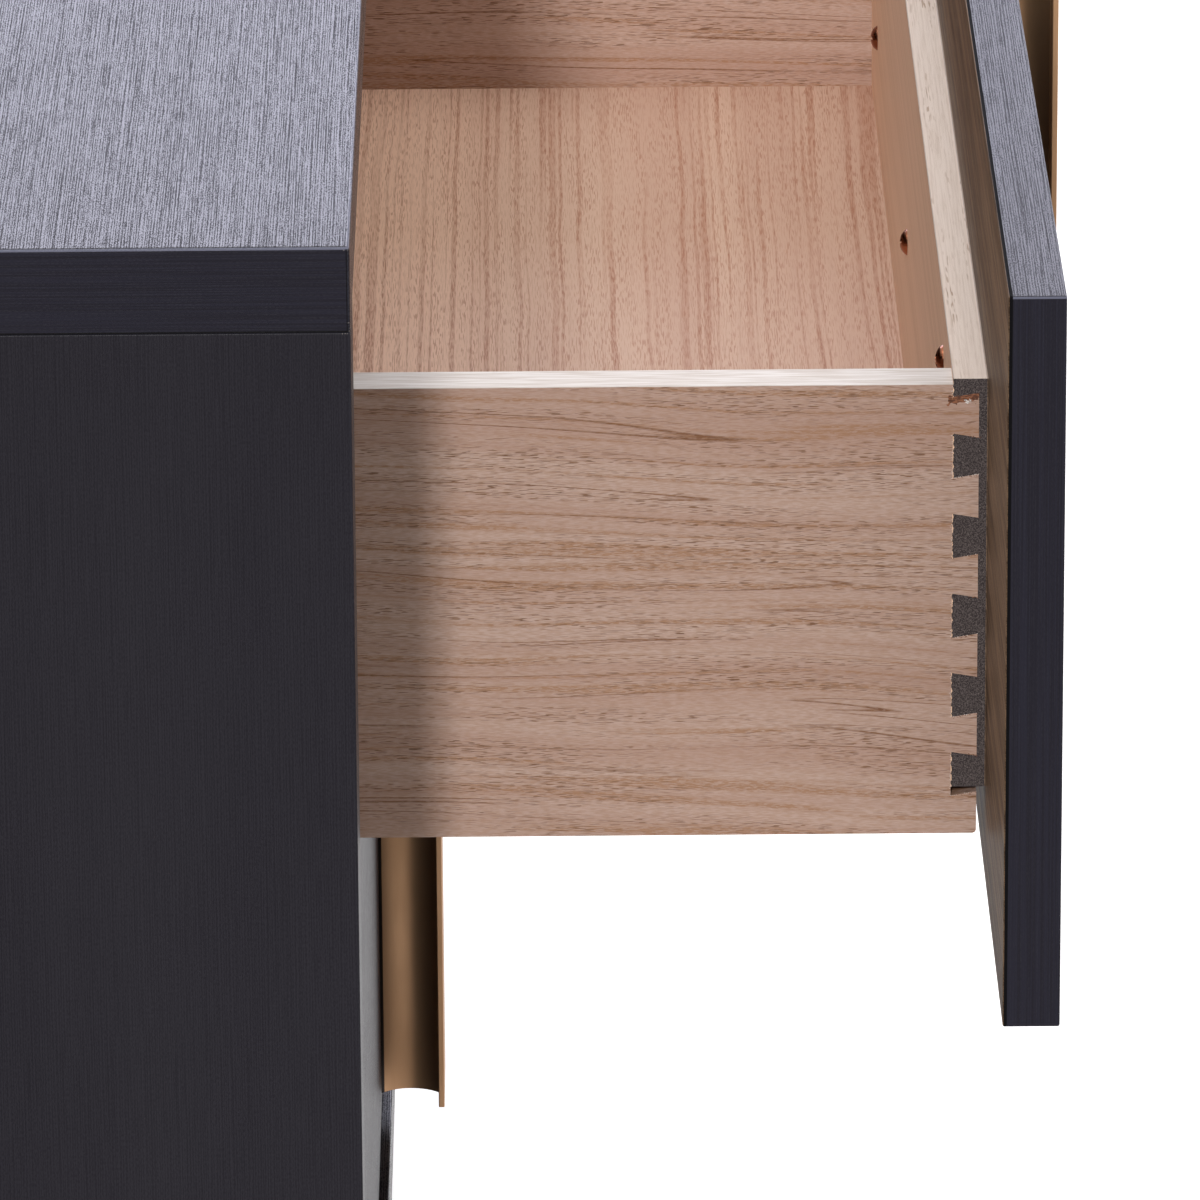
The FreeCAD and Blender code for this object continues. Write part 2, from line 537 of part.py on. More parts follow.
    # Concealed slides under the drawer: a rail on the inner upright, a middle tube and a drawer channel
    web_top = both(side_under, "-<slide_gap>")
    shut_y = both(CLOSED_Y, "<front_thick> + <slide_start>")
    for side in ("left", "right"):
        wall_inset = "(<box_inset> - <side_clear>)"
        track_inset = "(<box_inset> + <board> + <rail_offset>)"
        far_lip = f"({track_inset} + <rail_track> - <steel>)"
        rail_piece = f"{name}_slide_rail_{side}"
        flange = block(rail_piece + "_flange", ("<steel>", SLIDE_LENGTH, "<flange_height>"),
                       (mirrored(side, wall_inset, "<steel>"), shut_y, both(web_top, "-<steel>")))
        web_wide = f"({track_inset} + <rail_track> - {wall_inset})"
        web_plate = block(rail_piece + "_web", (web_wide, SLIDE_LENGTH, "<steel>"),
                          (mirrored(side, wall_inset, web_wide), shut_y, both(web_top, "-<steel>")))
        lips = [block(f"{rail_piece}_lip_{number}", ("<steel>", SLIDE_LENGTH, "<lip>"),
                      (mirrored(side, inset, "<steel>"), shut_y, web_top))
                for number, inset in enumerate((track_inset, far_lip), start=1)]
        head_x = mirrored(side, f"{wall_inset} + <steel> + <button_height>", "0")
        into = "-x" if side == "left" else "+x"
        heads, shanks = [], []
        for number, step in enumerate((0, 1, 2), start=1):
            y = both(shut_y, f"<slide_screw_gap> + ({SLIDE_LENGTH} - 2 * <slide_screw_gap>) * {step} / 2")
            z = both(web_top, "<flange_height> / 2")
            heads.append(rod(f"{rail_piece}_button_{number}", "<button_radius>", "<button_height>",
                             (head_x, y, z), into))
            shanks.append(rod(f"{rail_piece}_screw_{number}", "<screw_radius>",
                              "<button_height> + <steel> + <slide_screw_grip>", (head_x, y, z), into))
        slide_screw_places.extend(heads + shanks)
        keep(cut(rail_piece, fused(rail_piece + "_profile", [flange, web_plate] + lips), shanks), rail_piece)

        # The middle tube runs between the lips of both channels
        drawer_web_under = both(bottom_z, "-<steel>")
        half_out = f"({place['out']}) * <half_share>"
        tube_y = both(shut_y, "<middle_inset>", f"-{half_out}")
        tube_wide = "(<rail_track> - 2 * <steel> - 2 * <play>)"
        tube_tall = f"({drawer_web_under}) - ({web_top}) - 2 * <play>"
        tube_inset = f"{track_inset} + <steel> + <play>"
        outer = block(f"{name}_tube_{side}", (tube_wide, MIDDLE_LENGTH, tube_tall),
                      (mirrored(side, tube_inset, tube_wide), tube_y, both(web_top, "<play>")))
        bore = block(f"{name}_tube_bore_{side}",
                     (f"{tube_wide} - 2 * <tube_wall>", f"{MIDDLE_LENGTH} + 2 * <overrun>",
                      f"{tube_tall} - 2 * <tube_wall>"),
                     (mirrored(side, f"{tube_inset} + <tube_wall>", f"{tube_wide} - 2 * <tube_wall>"),
                      both(tube_y, "-<overrun>"), both(web_top, "<play> + <tube_wall>")))
        keep(cut(f"{name}_slide_middle_{side}", outer, [bore]), f"{name}_slide_middle_{side}")

        # The drawer channel hangs under the drawer bottom
        channel_y = both(shut_y, f"-({place['out']})")
        channel_long = f"({SLIDE_LENGTH} - <channel_short>)"
        channel = [block(f"{name}_channel_{side}_web", ("<rail_track>", channel_long, "<steel>"),
                         (mirrored(side, track_inset, "<rail_track>"), channel_y, drawer_web_under))]
        for number, inset in enumerate((track_inset, far_lip), start=1):
            channel.append(block(f"{name}_channel_{side}_lip_{number}",
                                 ("<steel>", channel_long, "<lip> + <steel>"),
                                 (mirrored(side, inset, "<steel>"), channel_y,
                                  both(drawer_web_under, "-<lip>"))))
        keep(fused(f"{name}_slide_channel_{side}", channel), f"{name}_slide_channel_{side}")

        # Bumpers on the inner upright's front edge
        bumper_x = mirrored(side, f"{UPRIGHT_INSET} + <divider> / 2", "0")
        for number, height in enumerate(("<bumper_margin>", "<front_height> - <bumper_margin>"), start=1):
            bumpers.append(rod(f"{name}_bumper_{side}_{number}", "<bumper_radius>", "<bumper_thick>",
                               (bumper_x, UPRIGHT_Y, both(front_z, height)), "-y"))

slide_screws = keep(fused("slide_screws", slide_screw_places), "slide_screws")
bumper_set = doc.addObject("Part::Compound", "bumpers")
bumper_set.Links = bumpers
keep(bumper_set, "bumpers")
for side in ("left", "right"):
    keep(cut(f"inner_upright_{side}", uprights[side], [dowels, back_screws, slide_screws]),
         f"inner_upright_{side}")

doc.recompute()

# Nothing is written unless every object and every sub-part is sound
for thing in doc.Objects:
    if "Invalid" in thing.State or "Error" in thing.State:
        raise RuntimeError(f"{thing.Label} failed: {thing.State}")
for piece in kept:
    shape = piece.Shape
    if shape.isNull() or not shape.isValid() or not shape.Solids:
        raise RuntimeError(f"{piece.Label} has no sound shape")

os.makedirs("parts", exist_ok=True)
for piece in kept:
    piece.Shape.exportStep(f"parts/{piece.Label}.step")
    print(f"{piece.Label}: {len(piece.Shape.Solids)} solids, {piece.Shape.Volume / 1000:.1f} cm3")
print(len(kept), "sub-parts")
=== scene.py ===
# Looks of the dresser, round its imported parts. Metres, +Z up, the drawers open towards -Y.
import json
import math
import bmesh
import bpy
from mathutils import Matrix, Vector

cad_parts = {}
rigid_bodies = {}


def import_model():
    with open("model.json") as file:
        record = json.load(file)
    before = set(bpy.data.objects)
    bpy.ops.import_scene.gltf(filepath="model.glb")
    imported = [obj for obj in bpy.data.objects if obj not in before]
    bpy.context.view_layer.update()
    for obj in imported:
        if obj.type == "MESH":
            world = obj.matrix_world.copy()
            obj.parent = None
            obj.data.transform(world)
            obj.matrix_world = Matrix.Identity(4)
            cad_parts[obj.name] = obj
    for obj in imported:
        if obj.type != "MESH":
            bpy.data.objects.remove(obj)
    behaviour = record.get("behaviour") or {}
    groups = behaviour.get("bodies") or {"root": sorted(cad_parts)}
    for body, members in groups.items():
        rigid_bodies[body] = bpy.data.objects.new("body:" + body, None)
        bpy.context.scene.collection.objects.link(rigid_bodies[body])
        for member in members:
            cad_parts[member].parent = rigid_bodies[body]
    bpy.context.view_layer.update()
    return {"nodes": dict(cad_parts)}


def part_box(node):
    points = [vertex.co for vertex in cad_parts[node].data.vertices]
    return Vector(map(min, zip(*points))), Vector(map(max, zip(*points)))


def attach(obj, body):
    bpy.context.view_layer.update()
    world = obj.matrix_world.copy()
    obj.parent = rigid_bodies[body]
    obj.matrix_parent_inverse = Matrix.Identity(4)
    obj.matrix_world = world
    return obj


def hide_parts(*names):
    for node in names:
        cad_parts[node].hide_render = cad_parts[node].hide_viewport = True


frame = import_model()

nodes = frame["nodes"]
mm = 0.001
print("parts loaded:", len(nodes))


# Camera, at the photo's viewing angle
cameraSettings = {
    "place": (-3.88924, -0.15462, 1.79904),
    "yaw": 0.0058688,  # radians towards the drawers' side
    "pitch": 0.346084,
    "roll": -0.0058706,
    "lens": 306.586,
    "sensor": 36.0,
}


def makeCamera(settings):
    camera = bpy.data.cameras.new("photoView")
    camera.lens = settings["lens"]
    camera.sensor_width = settings["sensor"]
    camera.clip_start = 0.1
    camera.clip_end = 100.0
    yaw, pitch, roll = settings["yaw"], settings["pitch"], settings["roll"]
    forward = Vector((math.cos(pitch) * math.cos(yaw), -math.cos(pitch) * math.sin(yaw), -math.sin(pitch)))
    level = Vector((-math.sin(yaw), -math.cos(yaw), 0.0))
    upright = Vector((math.sin(pitch) * math.cos(yaw), -math.sin(pitch) * math.sin(yaw), math.cos(pitch)))
    right = math.cos(roll) * level + math.sin(roll) * upright
    up = math.cos(roll) * upright - math.sin(roll) * level
    holder = bpy.data.objects.new("photoView", camera)
    bpy.context.scene.collection.objects.link(holder)
    turned = Matrix((right, up, -forward)).transposed().to_4x4()
    holder.matrix_world = Matrix.Translation(settings["place"]) @ turned
    bpy.context.scene.camera = holder


makeCamera(cameraSettings)


# Shader maths: a wire is one value or colour on its way through a material
class Wire:
    def __init__(self, finish, socket):
        self.finish = finish
        self.socket = socket

    def maths(self, operation, first, second):
        return self.finish.node("ShaderNodeMath", {"operation": operation}, {0: first, 1: second})

    def __add__(self, other):
        return self.maths("ADD", self, other)

    def __radd__(self, other):
        return self.maths("ADD", other, self)

    def __sub__(self, other):
        return self.maths("SUBTRACT", self, other)

    def __rsub__(self, other):
        return self.maths("SUBTRACT", other, self)

    def __mul__(self, other):
        return self.maths("MULTIPLY", self, other)

    def __rmul__(self, other):
        return self.maths("MULTIPLY", other, self)

    def __gt__(self, other):
        return self.maths("GREATER_THAN", self, other)

    def __lt__(self, other):
        return self.maths("LESS_THAN", self, other)

    def __abs__(self):
        return self.maths("ABSOLUTE", self, 0.0)

    def sine(self):
        return self.maths("SINE", self, 0.0)


def tone(red, green, blue):
    # A colour as it is read off a screen, made linear
    made = []
    for part in (red, green, blue):
        share = part / 255
        made.append(share / 12.92 if share <= 0.04045 else ((share + 0.055) / 1.055) ** 2.4)
    return (*made, 1.0)


class Finish:
    def __init__(self, name):
        self.material = bpy.data.materials.new(name)
        self.material.use_nodes = True
        self.tree = self.material.node_tree
        self.tree.nodes.clear()
        self.place = self.node("ShaderNodeTexCoord", {}, {}, "Object")
        self.x = self.node("ShaderNodeSeparateXYZ", {}, {0: self.place}, 0)
        self.y = Wire(self, self.x.socket.node.outputs[1])
        self.z = Wire(self, self.x.socket.node.outputs[2])

    def node(self, kind, settings=None, inputs=None, output=0):
        made = self.tree.nodes.new(kind)
        for key, value in (settings or {}).items():
            setattr(made, key, value)
        for key, value in (inputs or {}).items():
            if isinstance(value, Wire):
                self.tree.links.new(value.socket, made.inputs[key])
            else:
                made.inputs[key].default_value = value
        if made.outputs:
            return Wire(self, made.outputs[output])

    def along(self, axis):
        return {"x": self.x, "y": self.y, "z": self.z}[axis]

    def mix(self, factor, first, second):
        return self.node("ShaderNodeMix", {"data_type": "RGBA"}, {0: factor, 6: first, 7: second}, 2)

    def smooth(self, value, low, high, start=0.0, end=1.0):
        return self.node("ShaderNodeMapRange", {"interpolation_type": "SMOOTHSTEP"},
                         {0: value, 1: low, 2: high, 3: start, 4: end})

    def grain(self, axis, across, along, detail=2.0, shift=0.0, warp=0.0, place=None):
        # Noise drawn out along one axis; across and along count its cells in a metre
        scale = [across, across, across]
        scale["xyz".index(axis)] = along
        stretched = self.node("ShaderNodeMapping", {}, {
            "Vector": place or self.place, "Location": (shift, shift * 1.7, shift * 0.6), "Scale": scale})
        return self.node("ShaderNodeTexNoise", {}, {
            "Vector": stretched, "Scale": 1.0, "Detail": detail, "Distortion": warp})

    def lines(self, axis, across, along, width, shift=0.0, warp=0.0, place=None):
        # Thin lines wandering along one axis, where drawn-out noise crosses its mean
        level = self.grain(axis, across, along, 1.0, shift, warp, place)
        return self.smooth(abs(level - 0.5), 0.0, width, 1.0, 0.0)

    def bump(self, height, distance):
        return self.node("ShaderNodeBump", {}, {"Strength": 1.0, "Distance": distance, "Height": height})

    def surface(self, **inputs):
        named = {key.replace("_", " "): value for key, value in inputs.items()}
        shader = self.node("ShaderNodeBsdfPrincipled", {}, named)
        self.node("ShaderNodeOutputMaterial", {}, {0: shader})
        return self.material


def dress(name, material):
    # A part's own mesh stays; only its finish changes
    part = nodes[name]
    part.data.materials.clear()
    part.data.materials.append(material)


# Charcoal stained boards
charcoalSettings = {
    "dark": tone(24, 22, 28),
    "light": tone(32, 30, 37),
    "end": tone(34, 33, 43),
    "glueLine": tone(12, 11, 13),
    "seam": tone(7, 6, 8),
    "arris": tone(92, 93, 108),
    "ridgePitch": 0.94 * mm,
    "ridgeDrift": 9.0,  # radians by which the ridges wander
    "drift": (520.0, 8.0),  # cells in a metre across and along the grain, here and below
    "thread": (2300.0, 14.0),
    "fibre": (2600.0, 70.0),
    "speck": (2900.0, 860.0),
    "band": (160.0, 3.0),
    "groove": (2400.0, 15.0),
    "ruling": (1300.0, 9.0),
    "cloud": (26.0, 4.0),
    "shares": {"ridge": 0.38, "thread": 0.1, "fibre": 0.18, "speck": 0.36, "band": 0.04},
    "grooveDepth": 0.3,
    "endShare": 0.6,  # the ends' streaks against the faces'
    "endBand": 0.3 * mm,
    "rimHeight": 0.9 * mm,
    "rimFade": (0.05 * mm, 0.3 * mm),
    "stripSpan": (0.95 * mm, 1.25 * mm),
    "seamHeight": 0.55 * mm,
    "backingDepth": 0.35 * mm,
    "glueDepth": 1.5 * mm,
    "roughness": 0.56,
    "ior": 1.16,
    "coatSpan": (0.28, 0.71),
    "coatRoughness": 0.3,
    "coatIor": 1.3,
    "bumpDepth": 0.03 * mm,
}
laminateSettings = {
    "dark": tone(62, 46, 32),
    "light": tone(124, 101, 80),
    "broad": (200.0, 3.0),
    "pore": (2300.0, 26.0),
    "roughness": 0.62,
    "ior": 1.4,
    "bumpDepth": 0.05 * mm,
}


def laminateColour(finish, axis, settings=laminateSettings):
    broad = finish.grain(axis, *settings["broad"], 3.0, 2.0)
    fine = finish.grain(axis, *settings["pore"], 2.0, 5.0)
    shade = finish.smooth(broad * 0.5 + fine * 0.5, 0.38, 0.62)
    return finish.mix(shade, settings["dark"], settings["light"])


def charcoalStreak(finish, direction, settings):
    # Close ridges of uneven width, with long threads, shorter fibres and a dust of specks
    across = finish.x + finish.y + finish.z - finish.along(direction)
    drift = finish.grain(direction, *settings["drift"], 0.0, 31.0) * settings["ridgeDrift"]
    made = {
        "ridge": (across * (2 * math.pi / settings["ridgePitch"]) + drift).sine() * 0.5 + 0.5,
        "thread": finish.smooth(finish.grain(direction, *settings["thread"], 0.0, 1.0), 0.36, 0.62),
        "fibre": finish.smooth(finish.grain(direction, *settings["fibre"], 0.0, 7.0), 0.36, 0.64),
        "speck": finish.smooth(finish.grain(direction, *settings["speck"], 0.0, 3.0), 0.38, 0.6),
        "band": finish.grain(direction, *settings["band"], 2.0, 15.0) - 0.5,
    }
    groove = finish.smooth(finish.grain(direction, *settings["groove"], 0.0, 23.0), 0.26, 0.34,
                           settings["grooveDepth"], 0.0)
    streak = 0.0
    for label, share in settings["shares"].items():
        streak = made[label] * share + streak
    return streak - groove


def charcoalBoard(name, faceGrain, endAxis, endGrain, shine=1.0, backed=False, calm=1.0,
                  settings=charcoalSettings):
    # Streaks follow the face, and the narrow ends along one axis have streaks of their own.
    # Shine is the lacquer's strength, and calm below 1 evens it out.
    low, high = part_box(name)
    finish = Finish(name + "Charcoal")
    along = finish.along(endAxis)
    axis = "xyz".index(endAxis)
    atEnd = (along < low[axis] + settings["endBand"]) + (along > high[axis] - settings["endBand"])
    face = charcoalStreak(finish, faceGrain, settings)
    streak = face * (1 - atEnd) + charcoalStreak(finish, endGrain, settings) * atEnd * settings["endShare"]
    colour = finish.mix(streak, settings["dark"], settings["light"])
    ruled = finish.smooth(finish.grain(endGrain, *settings["ruling"], 1.0, 19.0), 0.4, 0.6)
    colour = finish.mix(atEnd * (ruled * 0.5 + 0.35), colour, settings["end"])
    coat = finish.smooth(streak, *settings["coatSpan"])
    cloud = finish.grain(faceGrain, *settings["cloud"], 3.0, 27.0)
    coat = ((coat - 0.5) * calm + 0.5 + (cloud - 0.5) * (1 - calm)) * (shine - atEnd * shine * 0.6)
    roughness = settings["roughness"] - streak * 0.14
    if name == "top_panel" or backed:
        # The rounded edge catches the light
        rim = finish.smooth(high[2] - finish.z, *settings["rimFade"])
        rim = rim * (finish.z > high[2] - settings["rimHeight"])
        colour = finish.mix(rim, colour, settings["arris"])
    if name == "top_panel":
        # The front edge's strip shows at the end
        near, far = settings["stripSpan"]
        strip = (finish.y > low[1] + near) * (finish.y < low[1] + far) * atEnd
        colour = finish.mix(strip + (finish.z < low[2] + settings["seamHeight"]), colour, settings["seam"])
    if backed:
        # The face towards the drawer box is plain laminate, met by a thin glue line
        behind = finish.y > high[1] - settings["backingDepth"]
        line = (finish.y > high[1] - settings["glueDepth"]) * (1 - behind)
        colour = finish.mix(line, colour, settings["glueLine"])
        colour = finish.mix(behind, colour, laminateColour(finish, "x"))
        coat = coat * (1 - behind * 0.9) * (1 - line)
        roughness = roughness + line * 0.4
    relief = finish.bump(streak, settings["bumpDepth"])
    return finish.surface(Base_Color=colour, Roughness=roughness, Normal=relief, IOR=settings["ior"],
                          Coat_Weight=coat, Coat_Roughness=settings["coatRoughness"],
                          Coat_IOR=settings["coatIor"])


dress("top_panel", charcoalBoard("top_panel", "x", "x", "y"))
dress("bottom_panel", charcoalBoard("bottom_panel", "x", "x", "y"))
for name in ("side_panel_left", "side_panel_right"):
    dress(name, charcoalBoard(name, "z", "z", "y", 0.4, calm=0.4))
for name, shine in (("upper_front", 0.58), ("lower_front", 0.3)):
    dress(name, charcoalBoard(name, "x", "x", "z", shine, backed=True))
print("charcoal boards done")


# Laminated boards inside the carcass
def laminateBoard(name, axis, settings=laminateSettings):
    finish = Finish(name + "Laminate")
    colour = laminateColour(finish, axis, settings)
    fine = finish.grain(axis, *settings["pore"], 2.0, 5.0)
    return finish.surface(Base_Color=colour, Roughness=settings["roughness"] - fine * 0.2,
                          Normal=finish.bump(fine, settings["bumpDepth"]), IOR=settings["ior"])


for name, axis in (("back_panel", "x"), ("inner_upright_left", "z"), ("inner_upright_right", "z"),
                   ("top_rail_front", "x"), ("top_rail_back", "x"), ("middle_rail", "x")):
    dress(name, laminateBoard(name, axis))
print("laminated boards done")


# Drawer boxes; cells count the noise's cells in a metre, across and along the grain
jointSettings = {  # pins at the front end of a drawer's side
    "pinDepth": 9.3 * mm,  # from the side's front end
    "halfPin": 4.95 * mm,  # from the side's top
    "slope": 0.168,
    "firstPin": 18.64 * mm,
    "pinPitch": 30.32 * mm,
    "pinHeight": 16.92 * mm,
    "narrowing": 1.56 * mm,
    "pins": 5,
    "proud": 0.02 * mm,  # chips off the side's face
}
sideSettings = {
    "pale": tone(183, 157, 144),
    "pink": tone(172, 142, 128),
    "streak": tone(148, 106, 72),
    "line": tone(106, 66, 38),
    "pore": tone(100, 66, 42),
    "cream": tone(214, 207, 202),
    "creamGrain": tone(176, 160, 146),
    "cells": {"wander": (11.0, 5.0), "band": (70.0, 1.4), "mottle": (2600.0, 380.0), "brown": (260.0, 4.0),
              "broken": (110.0, 7.0), "vein": (105.0, 2.2), "flock": (190.0, 9.0), "dash": (3900.0, 210.0),
              "fibre": (2700.0, 320.0), "cream": (1700.0, 45.0)},
    "slant": 0.03,
    "wander": 20 * mm,
    "veinWidth": 0.012,
    "edgeBand": 0.25 * mm,
    "roughness": 0.56,
    "ior": 1.35,
    "bumpDepth": 0.03 * mm,
}
tearSettings = {
    "light": tone(142, 92, 66),
    "dark": tone(84, 50, 34),
    "cells": {"ragged": (800.0, 420.0), "splinter": (1900.0, 500.0), "jag": (2600.0, 1700.0)},
    "upper": 0.9 * mm,  # above the half pin's lower line, then below it and behind it
    "lower": 2.7 * mm,
    "reach": 1.8 * mm,
    "upperJag": 2.0 * mm,
    "lowerJag": 5.5 * mm,
    "reachJag": 3.0 * mm,
    "notch": (4.0 * mm, 6.5 * mm),  # behind the front end and below the top
    "notchRadius": 0.55 * mm,
    "notchJag": 3.6 * mm,
    "notchWidening": 0.7,
}
bottomSettings = {
    "pale": tone(201, 170, 150),
    "pink": tone(192, 159, 140),
    # Painted light: a lighter, warmer tone that offsets the shade near the cabinet
    "paintedLightNearCabinet": tone(242, 203, 176),
    "line": tone(150, 94, 66),
    "cells": {"wander": (9.0, 5.0), "band": (45.0, 1.6), "line": (620.0, 1.5), "faded": (60.0, 4.0),
              "dash": (2300.0, 120.0), "flock": (300.0, 9.0), "pore": (2500.0, 110.0)},
    "leanFrom": (90 * mm, 135 * mm),  # belt in which the lines lean, from the bottom's front edge
    "leanTo": (165 * mm, 220 * mm),
    "leanLength": 420 * mm,
    "lean": 15.3 * mm,
    "wander": 8 * mm,
    "paintedLightSpan": (120 * mm, 240 * mm),  # where a painted light lifts the tone towards the cabinet, offsetting the shade there
    "roughness": 0.55,
    "ior": 1.35,
    "bumpDepth": 0.03 * mm,
}
fibreSettings = {
    "dark": tone(44, 36, 36),
    "light": tone(84, 75, 74),
    "speck": tone(132, 122, 118),
    # The inner face's tones are painted lighter than the wood, standing in for the bounced light on that
    # face
    "face": tone(238, 202, 174),
    "faceStreak": tone(229, 192, 162),
    "cream": tone(228, 212, 200),
    "creamGrain": tone(160, 128, 100),
    "border": tone(96, 66, 48),
    "cells": {"clump": (2100.0, 2100.0), "speck": (3000.0, 3000.0), "ragged": (700.0, 700.0),
              "face": (420.0, 2.5), "flock": (200.0, 9.0), "dash": (1800.0, 110.0), "haze": (1500.0, 22.0)},
    "faceBand": 0.3 * mm,
    "edgeBand": 0.25 * mm,
    "borderSpan": (0.45 * mm, 0.3 * mm),
    "endJag": 1.6 * mm,  # how raggedly the pale face ends at the pins
    "endSetback": 0.12 * mm,
    "roughness": 0.78,
    "ior": 1.35,
    "bumpDepth": 0.06 * mm,
}


def veneerColour(finish, settings, axis, shift):
    # Soft bands, mottled brown streaks, thin dark lines and clusters of short pores, all along one axis
    cells = settings["cells"]
    wander = finish.grain(axis, *cells["wander"], 1.0, shift + 30.0)
    bent = finish.z - finish.along(axis) * settings["slant"] + (wander - 0.5) * settings["wander"]
    place = finish.node("ShaderNodeCombineXYZ", {}, {0: finish.x, 1: finish.y, 2: bent})
    band = finish.smooth(finish.grain(axis, *cells["band"], 3.0, shift, 0.5, place), 0.36, 0.64)
    colour = finish.mix(band, settings["pale"], settings["pink"])
    mottle = finish.smooth(finish.grain(axis, *cells["mottle"], 2.0, shift + 2.0), 0.42, 0.58)
    brown = finish.smooth(finish.grain(axis, *cells["brown"], 2.0, shift + 9.0, 0.3, place), 0.53, 0.64)
    colour = finish.mix(brown * (mottle * 0.5 + 0.2), colour, settings["streak"])
    broken = finish.smooth(finish.grain(axis, *cells["broken"], 3.0, shift + 17.0, 0.0, place), 0.42, 0.54)
    vein = finish.lines(axis, *cells["vein"], settings["veinWidth"], shift + 13.0, 0.3, place) * broken
    colour = finish.mix(vein * (mottle * 0.4 + 0.6), colour, settings["line"])
    flock = finish.smooth(finish.grain(axis, *cells["flock"], 2.0, shift + 21.0, 0.0, place), 0.4, 0.6)
    dash = finish.smooth(finish.grain(axis, *cells["dash"], 0.0, shift + 6.0), 0.6, 0.68)
    dash = dash * (flock * 0.85 + 0.15)
    colour = finish.mix(dash * 0.88, colour, settings["pore"])
    fibre = finish.smooth(finish.grain(axis, *cells["fibre"], 2.0, shift + 4.0), 0.36, 0.64)
    colour = finish.mix(fibre * 0.34, colour, settings["streak"])
    return colour, fibre * 0.6 - dash * 1.6 - vein * 0.6


def tornTail(finish, name, colour, pale, settings=tearSettings):
    # The top tail is torn out in a ragged reddish band under the half pin, with one pale notch
    low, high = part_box(name)
    cells = settings["cells"]
    ragged = finish.grain("y", *cells["ragged"], 2.0, 40.0) - 0.5
    inner = low[1] + jointSettings["pinDepth"]
    depth = (high[2] - jointSettings["halfPin"]) + (inner - finish.y) * jointSettings["slope"] - finish.z
    torn = depth < ragged * settings["lowerJag"] + settings["lower"]
    torn = torn * (depth > ragged * settings["upperJag"] - settings["upper"])
    torn = torn * (finish.y < ragged * settings["reachJag"] + inner + settings["reach"])
    splinter = finish.smooth(finish.grain("y", *cells["splinter"], 1.0, 44.0), 0.42, 0.6)
    colour = finish.mix(torn, colour, finish.mix(splinter, settings["dark"], settings["light"]))
    jag = finish.grain("y", *cells["jag"], 1.0, 47.0) - 0.5
    back, down = settings["notch"]
    widening = settings["notchWidening"]
    spot = finish.node("ShaderNodeVectorMath", {"operation": "DISTANCE"}, {
        0: finish.node("ShaderNodeCombineXYZ", {}, {1: finish.y * widening, 2: finish.z}),
        1: (0.0, (low[1] + back) * widening, high[2] - down)}, 1)
    colour = finish.mix(spot < jag * settings["notchJag"] + settings["notchRadius"], colour, pale)
    return colour, torn, splinter


def drawerSideFinish(name, axis, settings=sideSettings, shift=0.0):
    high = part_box(name)[1]
    finish = Finish(name + "Veneer")
    colour, relief = veneerColour(finish, settings, axis, shift)
    if "side" in name:
        colour, torn, splinter = tornTail(finish, name, colour, settings["cream"])
        relief = relief * (1 - torn) + splinter * torn * 3.0
    creamGrain = finish.grain(axis, *settings["cells"]["cream"], 2.0, shift + 3.0)
    creamGrain = finish.smooth(creamGrain, 0.42, 0.62)
    cream = finish.mix(creamGrain * 0.6, settings["cream"], settings["creamGrain"])
    colour = finish.mix(finish.z > high[2] - settings["edgeBand"], colour, cream)
    return finish.surface(Base_Color=colour, Roughness=settings["roughness"] + relief * 0.05,
                          Normal=finish.bump(relief, settings["bumpDepth"]), IOR=settings["ior"])


def drawerBottomFinish(name, settings=bottomSettings, shift=0.0):
    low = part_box(name)[0]
    cells = settings["cells"]
    finish = Finish(name + "Veneer")
    # Growth lines along X, built up of short dashes, leaning only in one belt
    rising = finish.smooth(finish.y, *[low[1] + step for step in settings["leanFrom"]])
    falling = finish.smooth(finish.y, *[low[1] + step for step in settings["leanTo"]], 1.0, 0.0)
    reach = finish.smooth(finish.x, low[0], low[0] + settings["leanLength"])
    wander = finish.grain("x", *cells["wander"], 2.0, shift)
    leant = finish.y - reach * (rising * falling) * settings["lean"] + (wander - 0.5) * settings["wander"]
    place = finish.node("ShaderNodeCombineXYZ", {}, {0: finish.x, 1: leant, 2: finish.z})
    band = finish.smooth(finish.grain("x", *cells["band"], 2.0, shift + 5.0, 0.0, place), 0.34, 0.66)
    colour = finish.mix(band, settings["pale"], settings["pink"])
    # Painted light: the tone is lifted towards the cabinet, where the lamps leave it in shade
    near = finish.smooth(finish.y, *[low[1] + step for step in settings["paintedLightSpan"]])
    colour = finish.mix(near * 0.75, colour, settings["paintedLightNearCabinet"])
    line = finish.smooth(finish.grain("x", *cells["line"], 0.0, shift + 8.0, 0.0, place), 0.53, 0.68)
    faded = finish.grain("x", *cells["faded"], 1.0, shift + 12.0, 0.0, place)
    faded = finish.smooth(faded, 0.34, 0.62, 0.4, 1.0)
    dash = finish.smooth(finish.grain("x", *cells["dash"], 1.0, shift + 1.0, 0.0, place), 0.5, 0.64)
    colour = finish.mix(line * faded * (dash * 0.46 + 0.3), colour, settings["line"])
    flock = finish.smooth(finish.grain("x", *cells["flock"], 2.0, shift + 3.0, 0.0, place), 0.4, 0.6)
    pore = finish.smooth(finish.grain("x", *cells["pore"], 0.0, shift + 14.0), 0.54, 0.64)
    pore = pore * (flock * 0.6 + 0.4)
    colour = finish.mix(pore * 0.52, colour, settings["line"])
    return finish.surface(Base_Color=colour, Roughness=settings["roughness"], IOR=settings["ior"],
                          Normal=finish.bump(0 - pore, settings["bumpDepth"]))


